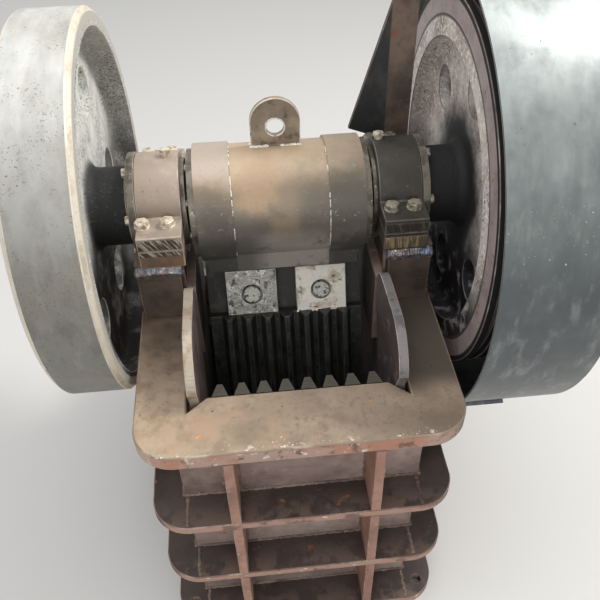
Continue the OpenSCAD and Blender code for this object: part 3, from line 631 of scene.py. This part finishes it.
# For each kind: width across flats, height of the head, radius and thickness of the washer.
CAP_BOLT, INNER_BOLT, OUTER_BOLT = (
    (0.030, 0.0125, 0.0185, 0.003),
    (0.014, 0.0045, 0.0085, 0.0008),
    (0.019, 0.009, 0.0105, 0.0015),
)
LUG_Z, HOUSING_R, PLUG_R = 0.0358, 0.124, 0.1235
chance = random.Random(7)
for side, word, finish, lines, plug_x, plug_y, inner_turn in (
    (-1, "left", bolt_left, (0.264, 0.322), -0.262, 0.010, 30),
    (1, "right", bolt_right, (0.256, 0.309), 0.250, 0.030, 0),
):
    places = []
    for x in lines:
        for y in (-0.146, 0.170):
            foot = Matrix.Translation((side * x, SHAFT_Y + y, SHAFT_Z + LUG_Z))
            places.append(foot @ Matrix.Rotation(chance.uniform(0, 1), 4, "Z"))
    bolts = place_all("cap_bolts_" + word, hex_bolt(*CAP_BOLT), places)
    wear(bolts, finish)
    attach(bolts, "frame")
    for kind, shape, first, face_x, circle, facing in (
        ("inner", INNER_BOLT, inner_turn, 0.2220, 0.092, -side),
        ("outer", OUTER_BOLT, 15, 0.3540, 0.111, side),
    ):
        places = []
        for turn in range(6):
            angle = math.radians(60 * turn + first)
            out = Vector((0, -math.cos(angle), math.sin(angle)))
            foot = Vector((side * face_x, SHAFT_Y, SHAFT_Z)) + out * circle
            lean = Matrix.Rotation(facing * math.pi / 2, 4, "Y")
            places.append(Matrix.Translation(foot) @ lean)
        bolts = place_all(kind + "_cover_bolts_" + word, hex_bolt(*shape), places)
        wear(bolts, finish)
        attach(bolts, "frame")
    where = (0, 0, 0.002)
    bpy.ops.mesh.primitive_cylinder_add(vertices=20, radius=0.010, depth=0.012, location=where)
    plug = bpy.context.object
    bpy.ops.object.transform_apply(location=True, rotation=True, scale=True)
    bpy.ops.object.mode_set(mode="EDIT")
    choose(plug, "faces", lambda mid: mid.z > 0.008 - HAIR)
    bpy.ops.mesh.inset(thickness=0.003)
    where = (0, 0, 0.0125)
    bpy.ops.mesh.primitive_cylinder_add(vertices=6, radius=0.0135, depth=0.010, location=where)
    choose(plug, "edges", lambda mid: abs(mid.z - 0.0175) < HAIR and mid.xy.length > 0.010)
    bpy.ops.mesh.bevel(offset=0.002, segments=2, affect="EDGES")
    bpy.ops.object.mode_set(mode="OBJECT")
    middle = Matrix.Translation((plug_x, SHAFT_Y, SHAFT_Z))
    lean = Matrix.Rotation(-math.asin(plug_y / HOUSING_R), 4, "X")
    places = [middle @ lean @ Matrix.Translation((0, 0, PLUG_R))]
    plugs = place_all("cap_plug_" + word, plug, places)
    wear(plugs, bolt_left)
    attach(plugs, "frame")

# The chamber: the fixed jaw plate, cast, and the two cheek plates, flame-cut.
# The jaw is dark manganese steel with its casting skin; the cheeks' rims show the torch's ripple.
jaw = Coat("jaw_steel", tone(48, 49, 46), 0.5, 0.3)
jaw.lay(tone(72, 72, 67), jaw.patch(0.08, 0.35, 0.08))
jaw.lay(tone(26, 26, 25), jaw.patch(0.03, 0.3, 0.06, 3.0))
jaw.lay(tone(98, 96, 90), jaw.patch(0.008, 0.14, 0.04, 5.0))
# The tops of the teeth are lighter, in a tone darkened as painted shade.
jaw.lay(tone(78, 74, 65), jaw.step(jaw.face_z, 0.6, 0.9), jaw.step(jaw.z, 0.780, 0.790))
jaw.relief(jaw.cloud(0.008, detail=4), 0.0016)
jaw_coat = jaw.done()
jaw_edge = rubbed("rubbed_jaw_edge", tone(50, 51, 48), tone(82, 81, 75), 0.3, 5.0)
wear(ease("fixed_jaw", 0.002), jaw_coat, edge=jaw_edge)


def cheek_finish(name, plate, edge, stain, shift):
    """Primed plate with a bare flame-cut rim."""
    cheek = Coat(name, plate, 0.5, 0.2)
    cheek.lay(tone(86, 74, 72), cheek.patch(0.12, 0.45, 0.10, shift))
    cheek.lay(tone(150, 132, 124), cheek.patch(0.03, 0.18, 0.05, shift + 2))
    cheek.lay(tone(52, 46, 46), cheek.patch(0.02, 0.16, 0.05, shift + 4))
    rim = cheek.step(cheek.work("ABSOLUTE", cheek.face_x), 0.6, 0.3)
    cheek.lay(edge, rim, rough=0.42, metal=0.3)
    cheek.lay(stain, rim, cheek.patch(0.05, 0.38, 0.06, shift + 6))
    ripple = cheek.cloud(0.0035, (12, 1, 1), shift, detail=1)
    crest = cheek.step(ripple, 0.52, 0.66)
    cheek.lay(tone(150, 136, 120), rim, crest, cheek.patch(0.05, 0.45), 0.6)
    cheek.relief(cheek.both(rim, ripple), 0.0012)
    return cheek.done()


# The left and right cheeks are lit and shaded copies: the right one is darker as painted shade.
cheek_left = cheek_finish(
    "cheek_left_steel", tone(122, 106, 100), tone(178, 166, 149), tone(156, 134, 110), 1.0
)
cheek_right = cheek_finish(
    "cheek_right_steel", tone(98, 88, 90), tone(134, 130, 130), tone(104, 98, 100), 5.0
)
cheek_edge = rubbed("rubbed_cheek_edge", tone(144, 129, 116), tone(196, 184, 168), 0.45, 9.0)
wear(ease("cheek_plate_left", 0.0015), cheek_left, edge=cheek_edge)
wear(ease("cheek_plate_right", 0.0015), cheek_right, edge=cheek_edge)

# The swing jaw: a heavy steel casting, with its barrel turned, its rings, eye and jaw plate.
# Painted light on top of the barrel and the left sleeve, painted shade low down and on the right,
# where the guard's shadow falls, a painted reflection on the underside, and dark below the barrel.
barrel = Coat("barrel_steel", tone(148, 131, 110), 0.4, 0.2)
turn = barrel.around()
wander = barrel.work("SUBTRACT", barrel.cloud(0.12, shift=7.0), 0.5)
drift = barrel.work("ADD", barrel.z, barrel.both(wander, 0.10))
side = barrel.work("ABSOLUTE", barrel.x)
outer = barrel.step(side, 0.1142, 0.1158)
left = barrel.both(outer, barrel.step(barrel.x, 0.01, -0.01))
# Painted light: lighter over the top of the barrel.
barrel.lay(tone(184, 162, 136), barrel.level(0.075, 0.135, drift))
# Painted shade: the sleeves darker low down.
barrel.lay(tone(98, 90, 80), outer, barrel.level(0.11, 0.03, drift))
# Painted highlight on top of the left sleeve.
barrel.lay(tone(176, 162, 147), left, barrel.level(0.080, 0.13, drift))
# Painted shade of the guard over the right sleeve.
barrel.lay(
    tone(98, 93, 83), outer, barrel.step(barrel.x, -0.01, 0.01), barrel.level(0.16, 0.06, drift)
)
spot_x = barrel.both(barrel.work("ADD", barrel.x, 0.052), 1 / 0.060)
spot_z = barrel.both(barrel.work("SUBTRACT", barrel.z, SHAFT_Z + 0.085), 1 / 0.055)
spot = barrel.work("ADD", barrel.both(spot_x, spot_x), barrel.both(spot_z, spot_z))
spot = barrel.work("ADD", spot, barrel.both(barrel.cloud(0.05, shift=3.0), 1.6))
barrel.lay(tone(174, 148, 120), barrel.step(spot, 2.0, 0.9), barrel.step(side, 0.114, 0.110))
# Painted shadow of the guard on the right part of the body, low down.
body = barrel.step(side, 0.116, 0.112)
barrel.lay(
    tone(114, 106, 94), body, barrel.step(barrel.x, 0.02, 0.07), barrel.level(0.12, 0.05, drift)
)
# Painted shade on the body low down, away from the eye.
from_eye = barrel.work("ABSOLUTE", barrel.work("SUBTRACT", barrel.x, 0.01))
barrel.lay(
    tone(112, 105, 95), body, barrel.step(from_eye, 0.02, 0.05), barrel.level(0.055, 0.01, drift)
)
# Painted reflection: the underside lighter, as light thrown up from below.
barrel.lay(tone(182, 174, 163), barrel.level(0.005, -0.065, drift), rough=0.46)
barrel.lay(
    tone(120, 116, 110), barrel.step(barrel.x, -0.02, -0.09), barrel.level(0.03, -0.03, drift)
)
# Painted shade: the sleeves darkest on their undersides.
barrel.lay(tone(92, 90, 86), outer, barrel.level(0.03, -0.05, drift))
barrel.lay(
    tone(124, 114, 101), barrel.patch(0.05, 0.22, 0.09, 9.0), barrel.level(0.10, 0.02, drift)
)
barrel.lay(tone(178, 164, 144), barrel.line(0.03, (7, 1, 1), 0.003, 2.0), barrel.level(-0.06, 0))
barrel.lay(tone(120, 110, 96), barrel.patch(0.006, 0.15, 0.10, 4.0), 0.4)
barrel.lay(tone(204, 192, 174), barrel.patch(0.0045, 0.02, 0.02, 6.0))
barrel.lay(tone(58, 56, 53), barrel.level(-0.152, -0.165), rough=0.6)
barrel.lay(tone(84, 80, 74), barrel.level(-0.14, -0.16), barrel.patch(0.05, 0.3))
barrel.relief(barrel.cloud(0.005, detail=3), 0.0004)
barrel.relief(barrel.cloud(0.002, (30, 1, 1), of=turn, detail=1), 0.0001)
barrel_coat = barrel.done()
barrel_edge = rubbed("rubbed_barrel_edge", tone(112, 105, 94), tone(158, 147, 132), 0.3, 6.0)
wear(ease("swing_jaw", 0.002), barrel_coat, edge=barrel_edge)
wear(ease("barrel_rings", 0.001), cover_coat, edge=barrel_edge)
eye = Coat("eye_steel", tone(142, 127, 108), 0.46, 0.1)
eye.lay(tone(166, 150, 128), eye.patch(0.05, 0.35, 0.08, 1.0))
eye.lay(tone(104, 92, 78), eye.patch(0.03, 0.25, 0.06, 2.0))
eye.lay(tone(70, 62, 54), eye.pits(0.012, 0.12, 0.3, 4.0))
eye.relief(eye.cloud(0.01, detail=3), 0.0006)
eye_edge = rubbed("rubbed_eye_edge", tone(178, 164, 142), tone(216, 206, 188), 0.5, 3.0)
wear(ease("lifting_eye", 0.0025), eye.done(), edge=eye_edge)
wear(ease("moving_jaw", 0.003), jaw_coat, edge=jaw_edge)

# The wedge blocks that hold the jaw plate up, ground on the right and rough cast on the left; the
# right one's near-white tone is partly a painted highlight.
# Their bolts sit in dark, oily rings.


def bolt_ring(block, at_x):
    """The oily gap round a sunk bolt head."""
    where = block.add("ShaderNodeVectorMath", operation="DISTANCE")
    block.feed(where.inputs[0], block.place)
    where.inputs[1].default_value = (at_x, SHAFT_Y - 0.1132, SHAFT_Z - 0.2239)
    gap = block.band(where.outputs["Value"], 0.0218, 0.0262, 0.0010)
    block.lay(tone(30, 28, 26), gap, rough=0.7, metal=0.0)


block = Coat("block_left_cast", tone(178, 175, 166), 0.38, 0.4)
block.lay(tone(226, 224, 215), block.patch(0.022, 0.34, 0.05, 4.0), rough=0.32)
block.lay(tone(112, 107, 97), block.patch(0.018, 0.30, 0.05), rough=0.7, metal=0.1)
block.lay(tone(50, 47, 43), block.patch(0.009, 0.18, 0.03, 8.0), rough=0.8, metal=0.0)
block.lay(tone(96, 78, 60), block.patch(0.04, 0.14, 0.04, 9.0), rough=0.8)
bolt_ring(block, -0.088)
block.relief(block.cloud(0.008), 0.003)
block_edge = rubbed("rubbed_block_edge", tone(164, 160, 150), tone(224, 220, 208), 0.5, 1.0)
wear(ease("wedge_block_left", 0.003), block.done(), edge=block_edge)
# The right block's near-white tone is partly a painted highlight on its ground face.
block = Coat("block_right_ground", tone(246, 240, 226), 0.3, 0.0)
block.lay(tone(206, 190, 164), block.patch(0.045, 0.36, 0.08, 1.0))
block.lay(tone(124, 98, 74), block.patch(0.030, 0.18, 0.06, 3.0), rough=0.6)
block.lay(tone(110, 106, 102), block.patch(0.024, 0.16, 0.04, 7.0), rough=0.5)
block.lay(tone(242, 238, 226), block.patch(0.030, 0.26, 0.04, 11.0))
bolt_ring(block, 0.093)
block.relief(block.cloud(0.010), 0.0016)
wear(ease("wedge_block_right", 0.002), block.done(), edge=block_edge)
block = Coat("wedge_bolt_steel", tone(204, 202, 190), 0.38, 0.3)
block.lay(tone(84, 80, 72), block.patch(0.010, 0.38, 0.05), rough=0.7)
block.lay(tone(222, 220, 210), block.patch(0.007, 0.20, 0.04, 2.0))
bolt_edge = rubbed("rubbed_bolt_edge", tone(90, 88, 82), tone(180, 178, 168), 0.4, 2.0)
block.relief(block.cloud(0.006), 0.002)
wear(ease("wedge_bolts", 0.002), block.done(), edge=bolt_edge)

# Torch marks on the swing jaw: the seams of the sleeves, the foot and hole of the lifting eye,
# and the bead under the right wedge block. White with slag, broken where it was chipped off.
bright = Coat("bright_weld", tone(240, 236, 226), 0.4, 0.1)
bright.lay(tone(168, 156, 140), bright.patch(0.012, 0.32))
bright_coat = bright.done()
BARREL_Z, BARREL_R, SEAM_R, SEAM_X = SHAFT_Z - 0.008, 0.138, 0.139, 0.1148
seams = []
chance = random.Random(11)
for side in (-1, 1):
    angle = 80.0
    while angle < 215:
        sweep = chance.uniform(2, 9)
        if chance.random() < (0.66 if side < 0 or angle > 135 else 0.22):
            seams.append([])
            for k in range(5):
                a = math.radians(angle + sweep * k / 4)
                y, z = SHAFT_Y + SEAM_R * math.cos(a), BARREL_Z + SEAM_R * math.sin(a)
                seams[-1].append((side * SEAM_X, y, z))
        angle += sweep + chance.uniform(0.5, 4)
feet = []
for at_y, off, low, high in (
    (0.0115, 0.013, -0.060, -0.018),
    (0.0115, 0.013, 0.014, 0.030),
    (0.0115, 0.013, 0.036, 0.056),
    (0.0285, 0.028, -0.060, 0.058),
):
    y, z = SHAFT_Y + at_y, BARREL_Z + math.sqrt(BARREL_R**2 - off**2)
    feet.append([(low, y, z), (high, y, z)])
BURR_R, EYE_Z = 0.0226, SHAFT_Z + 0.177
arc = [math.radians(15 * k) for k in range(25)]
burr = [[(BURR_R * math.cos(a), SHAFT_Y + 0.0128, EYE_Z + BURR_R * math.sin(a)) for a in arc]]
y, z = SHAFT_Y - 0.1325, SHAFT_Z - 0.2765
bead = [[(0.031, y, z), (0.157, y, z)]]
for name, runs, size, pitch, rough_by in (
    ("barrel_seams", seams, 0.0023, 0.0028, 0.0008),
    ("eye_welds", feet, 0.0044, 0.005, 0.0013),
    ("eye_burr", burr, 0.0022, 0.0032, 0.0007),
    ("block_bead", bead, 0.0042, 0.0045, 0.0013),
):
    marks = weld_run(name, runs, size, pitch, rough_by)
    wear(marks, bright_coat)
    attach(marks, "pitman")

# Toggle plate, its seat, the tension rod with its spring, and the shaft: plain workshop steel.
# Sawn and turned, greased once, dusty since.
plain = Coat("workshop_steel", tone(122, 119, 114), 0.38, 0.5)
plain.lay(tone(88, 80, 71), plain.patch(0.05, 0.4, 0.08), rough=0.6)
plain.lay(tone(158, 154, 146), plain.patch(0.012, 0.2, 0.05, 3.0))
plain_coat = plain.done()
for name in ("toggle_plate", "toggle_block", "tension_rod", "tension_spring", "spring_nuts"):
    wear(ease(name, 0.001), plain_coat)
wear(ease("eccentric_shaft", 0.001), plain_coat)

# The flywheel: grey iron, turned on the rim and left as cast on the web.
# The tread is bare and pitted with sand holes, with painted shade lower down; the lower web has
# painted shade, the hub is black, and the rim's chamfer is partly a painted highlight.
wheel = Coat("flywheel_iron", tone(238, 237, 230), 0.6, 0.05)
out = wheel.radius()
low = wheel.level(0.10, -0.14)
wheel.lay(tone(206, 205, 198), wheel.patch(0.07, 0.4, 0.12, 1.0))
wheel.lay(tone(166, 164, 158), wheel.step(out, 0.33, 0.415), wheel.patch(0.005, 0.50, 0.16, 11.0))
# Painted shade: the web darker in its lower half.
wheel.lay(tone(74, 74, 73), low, wheel.patch(0.10, 0.72, 0.12, 2.0))
wheel.lay(tone(96, 94, 90), wheel.patch(0.006, 0.32, 0.10), wheel.patch(0.09, 0.50, 0.12, 7.0))
hub = wheel.step(out, 0.125, 0.100)
wheel.lay(tone(32, 32, 33), hub, rough=0.6)
wheel.lay(tone(60, 60, 58), hub, wheel.patch(0.008, 0.2))
wheel.lay(tone(196, 192, 182), wheel.step(out, 0.4200, 0.4220), rough=0.5)
# Partly a painted highlight: the bright band of the chamfer.
rim = wheel.step(out, 0.4405, 0.4420)
wheel.lay(tone(222, 212, 192), rim, rough=0.4)
wheel.lay(tone(190, 174, 150), rim, wheel.patch(0.09, 0.3, 0.10))
tread = wheel.step(out, 0.4480, 0.4492)
turn = wheel.around()
wheel.lay(tone(206, 206, 200), tread, rough=0.42, metal=0.1)
# Painted shade: the tread darker lower down.
foot = wheel.both(tread, wheel.level(0.40, 0.12))
wheel.lay(tone(126, 124, 117), foot)
wheel.lay(tone(92, 90, 84), foot, wheel.streak(turn, 4, 0.03, 0.32, 0.12, 15.0), 0.55)
wheel.lay(tone(150, 149, 141), foot, wheel.streak(turn, 6, 0.022, 0.26, 0.10, 16.0), 0.5)
wheel.lay(
    tone(170, 169, 163),
    tread,
    wheel.streak(turn, 16, 0.024, 0.42, 0.22, 3.0),
    wheel.level(0.05, 0.30),
    0.5,
)
wheel.lay(tone(126, 122, 114), tread, wheel.streak(turn, 5, 0.05, 0.34, 0.22, 6.0), 0.5)
wheel.lay(tone(160, 148, 132), tread, wheel.streak(turn, 3, 0.12, 0.30, 0.16, 8.0), 0.4)
wheel.lay(
    tone(96, 93, 87), tread, wheel.patch(0.005, 0.20, 0.06, 9.0), wheel.patch(0.10, 0.5, 0.10, 14.0)
)
wheel.lay(
    tone(52, 50, 47),
    tread,
    wheel.pits(0.014, 0.09, 0.50, 3.0),
    wheel.patch(0.10, 0.6, 0.06, 12.0),
    rough=0.8,
)
wheel.relief(wheel.both(wheel.work("SUBTRACT", 1.0, tread), wheel.cloud(0.007)), 0.0022)
wheel.relief(wheel.cloud(0.003, detail=2), 0.00012)
wheel_coat = wheel.done()
wheel_edge = rubbed(
    "rubbed_wheel_edge", tone(204, 196, 180), tone(226, 218, 202), 0.5, 4.0, tone(178, 166, 146)
)
wear(ease("flywheel", 0.002), wheel_coat, edge=wheel_edge)

# The sheave: the same iron, with a ring of pinkish primer on its rim and five belt grooves.
# Pale overspray speckles the web; round the hub and lower down it is black; a painted shadow line
# runs inside the ring, and the rim outside it is near-black as painted shade.
sheave = Coat("sheave_iron", tone(216, 206, 198), 0.55, 0.05)
out = sheave.radius()
sheave.lay(tone(176, 160, 150), sheave.patch(0.06, 0.36, 0.12))
sheave.lay(tone(246, 240, 232), sheave.step(out, 0.16, 0.28), sheave.patch(0.010, 0.32, 0.04, 3.0))
sheave.lay(
    tone(84, 74, 70), sheave.patch(0.006, 0.30, 0.07, 6.0), sheave.patch(0.07, 0.5, 0.12, 7.0)
)
hub_dark_reach = sheave.work("ADD", out, sheave.both(sheave.cloud(0.09, shift=5.0), 0.16))
sheave.lay(tone(40, 39, 42), sheave.step(hub_dark_reach, 0.31, 0.21), rough=0.6)
low = sheave.level(0.06, -0.16)
sheave.lay(tone(40, 41, 47), low, sheave.patch(0.05, 0.74, 0.10, 9.0))
sheave.lay(tone(24, 23, 24), sheave.step(out, 0.17, 0.12), rough=0.7)
# Painted shadow: a dark line at the ring's inner edge.
sheave.lay(tone(84, 74, 72), sheave.band(out, 0.388, 0.396, 0.003))
ring = sheave.step(out, 0.3945, 0.3965)
sheave.lay(tone(170, 155, 152), ring, rough=0.42)
sheave.lay(tone(148, 132, 130), ring, sheave.patch(0.06, 0.4, 0.12, 9.0))
sheave.lay(tone(92, 80, 78), ring, sheave.patch(0.010, 0.12, 0.04, 12.0))
# Painted shade: the rim outside the ring near-black.
sheave.lay(tone(26, 25, 26), sheave.step(out, 0.4360, 0.4385), rough=0.7)
sheave.relief(sheave.both(sheave.work("SUBTRACT", 1.0, ring), sheave.cloud(0.008)), 0.0022)
sheave_coat = sheave.done()
sheave_edge = rubbed("rubbed_sheave_edge", tone(120, 108, 104), tone(176, 164, 156), 0.3, 4.0)
wear(ease("belt_sheave", 0.002), sheave_coat, edge=sheave_edge)

# The belt guard and its stay: rolled mill sheet, grey-green and bare, streaked round its hoop.
# The hoop has a painted highlight on top and painted shade low down, and its cut edge is dark.
guard = Coat("guard_sheet", tone(136, 142, 140), 0.36, 0.25)
turn = guard.around()
hoop = guard.step(guard.work("ABSOLUTE", guard.face_x), 0.6, 0.3)
# Painted highlight: the top of the hoop paler.
guard.lay(tone(190, 198, 195), hoop, guard.level(0.34, 0.50))
# Painted shade: the hoop darker low down.
guard.lay(tone(84, 88, 90), hoop, guard.level(0.38, 0.02))
guard.lay(
    tone(164, 172, 169),
    hoop,
    guard.streak(turn, 5, 0.07, 0.34, 0.18, 1.0),
    guard.level(0.05, 0.30),
    0.6,
)
guard.lay(tone(98, 104, 104), hoop, guard.streak(turn, 4, 0.06, 0.38, 0.18, 4.0), 0.55)
guard.lay(tone(106, 111, 111), guard.patch(0.12, 0.30, 0.14, 6.0), 0.6)
guard.lay(
    tone(150, 156, 152),
    hoop,
    guard.streak(turn, 5, 0.03, 0.26, 0.10, 8.0),
    guard.level(0.42, 0.30),
    0.45,
)
guard.lay(
    tone(214, 220, 218),
    guard.patch(0.006, 0.06, 0.02, 11.0),
    guard.band(guard.z, SHAFT_Z + 0.12, SHAFT_Z + 0.26, 0.03),
    rough=0.6,
)
guard.lay(
    tone(78, 80, 82), guard.patch(0.010, 0.10, 0.03, 12.0), guard.patch(0.10, 0.3, 0.04, 13.0)
)
guard.relief(guard.cloud(0.30, detail=1), 0.004)
guard_coat = guard.done()
guard_edge = rubbed("rubbed_guard_edge", tone(52, 55, 57), tone(104, 108, 108), 0.3, 7.0)
for name in ("guard_rim", "guard_disc", "guard_stay"):
    wear(ease(name, 0.001), guard_coat, edge=guard_edge)

# A plain pale floor under a soft sky, stronger towards the zenith; the camera, mirrors and glass
# see one pale grey in its place. The strong lamp is high on the sheave's side, so that the guard
# shades the right bearing; the others fill from the flywheel's side and the front.
bpy.ops.mesh.primitive_plane_add(size=40, location=(0, 0, 0))
floor = bpy.context.object
floor.name = "floor"
pale = Coat("floor_pale", tone(214, 212, 208), 0.9)
wear(floor, pale.done())
world = bpy.context.scene.world or bpy.data.worlds.new("shed")
bpy.context.scene.world = world
world.use_nodes = True
sky = world.node_tree.nodes
links = world.node_tree.links
soft = sky["Background"]
soft.inputs[0].default_value = (0.95, 0.97, 1.0, 1)
where, up = sky.new("ShaderNodeTexCoord"), sky.new("ShaderNodeSeparateXYZ")
dome = sky.new("ShaderNodeMapRange")
links.new(where.outputs["Generated"], up.inputs[0])
links.new(up.outputs[2], dome.inputs[0])
for socket, given in zip(dome.inputs[1:], (0.0, 1.0, 0.32, 0.85)):
    socket.default_value = given
links.new(dome.outputs[0], soft.inputs[1])
seen = sky.new("ShaderNodeBackground")
seen.inputs[0].default_value = tone(232, 231, 229)
rays, mix = sky.new("ShaderNodeLightPath"), sky.new("ShaderNodeMixShader")
shown = rays.outputs["Is Camera Ray"]
for kind in ("Is Glossy Ray", "Is Transmission Ray"):
    either = sky.new("ShaderNodeMath")
    either.operation = "MAXIMUM"
    links.new(shown, either.inputs[0])
    links.new(rays.outputs[kind], either.inputs[1])
    shown = either.outputs[0]
links.new(shown, mix.inputs[0])
links.new(soft.outputs[0], mix.inputs[1])
links.new(seen.outputs[0], mix.inputs[2])
links.new(mix.outputs[0], sky["World Output"].inputs["Surface"])
aim = Vector((0, 0.05, 0.8))
for name, place, size, power, shade in (
    ("lamp_main", (2.5, 0.6, 4.0), 1.2, 125, (1.0, 0.98, 0.95)),
    ("lamp_sky", (-1.0, 0.3, 4.4), 3.0, 52, (0.98, 0.99, 1.0)),
    ("lamp_front", (-0.6, -3.6, 2.2), 2.4, 30, (0.97, 0.98, 1.0)),
):
    light = bpy.data.lights.new(name, "AREA")
    light.size, light.energy, light.color = size, power, shade
    lamp = bpy.data.objects.new(name, light)
    lamp.location = place
    lamp.rotation_mode = "QUATERNION"
    lamp.rotation_quaternion = (aim - lamp.location).to_track_quat("-Z", "Y")
    bpy.context.scene.collection.objects.link(lamp)

# The camera, where the photo was taken: above the feed, looking down into the jaws.
# Its place and lens were fitted to the rims of the wheels and guard and the flange's corners.
turned, dip, roll = math.radians(4.9), math.radians(-44.3), math.radians(-1.3)
ahead = Vector((math.sin(turned) * math.cos(dip), math.cos(turned) * math.cos(dip), math.sin(dip)))
across = ahead.cross(Vector((0, 0, 1))).normalized()
upward = across.cross(ahead)
level, tilt = math.cos(roll), math.sin(roll)
across, upward = level * across + tilt * upward, level * upward - tilt * across
view = bpy.data.cameras.new("camera")
view.sensor_width, view.lens = 36, 42.7
view.shift_x, view.shift_y = -0.0045, 0.0487
camera = bpy.data.objects.new("camera", view)
camera.matrix_world = Matrix((across, upward, -ahead)).transposed().to_4x4()
camera.location = (-0.0758, -1.4137, 2.0075)
bpy.context.scene.collection.objects.link(camera)
bpy.context.scene.camera = camera
bpy.context.scene.view_settings.view_transform = "Standard"
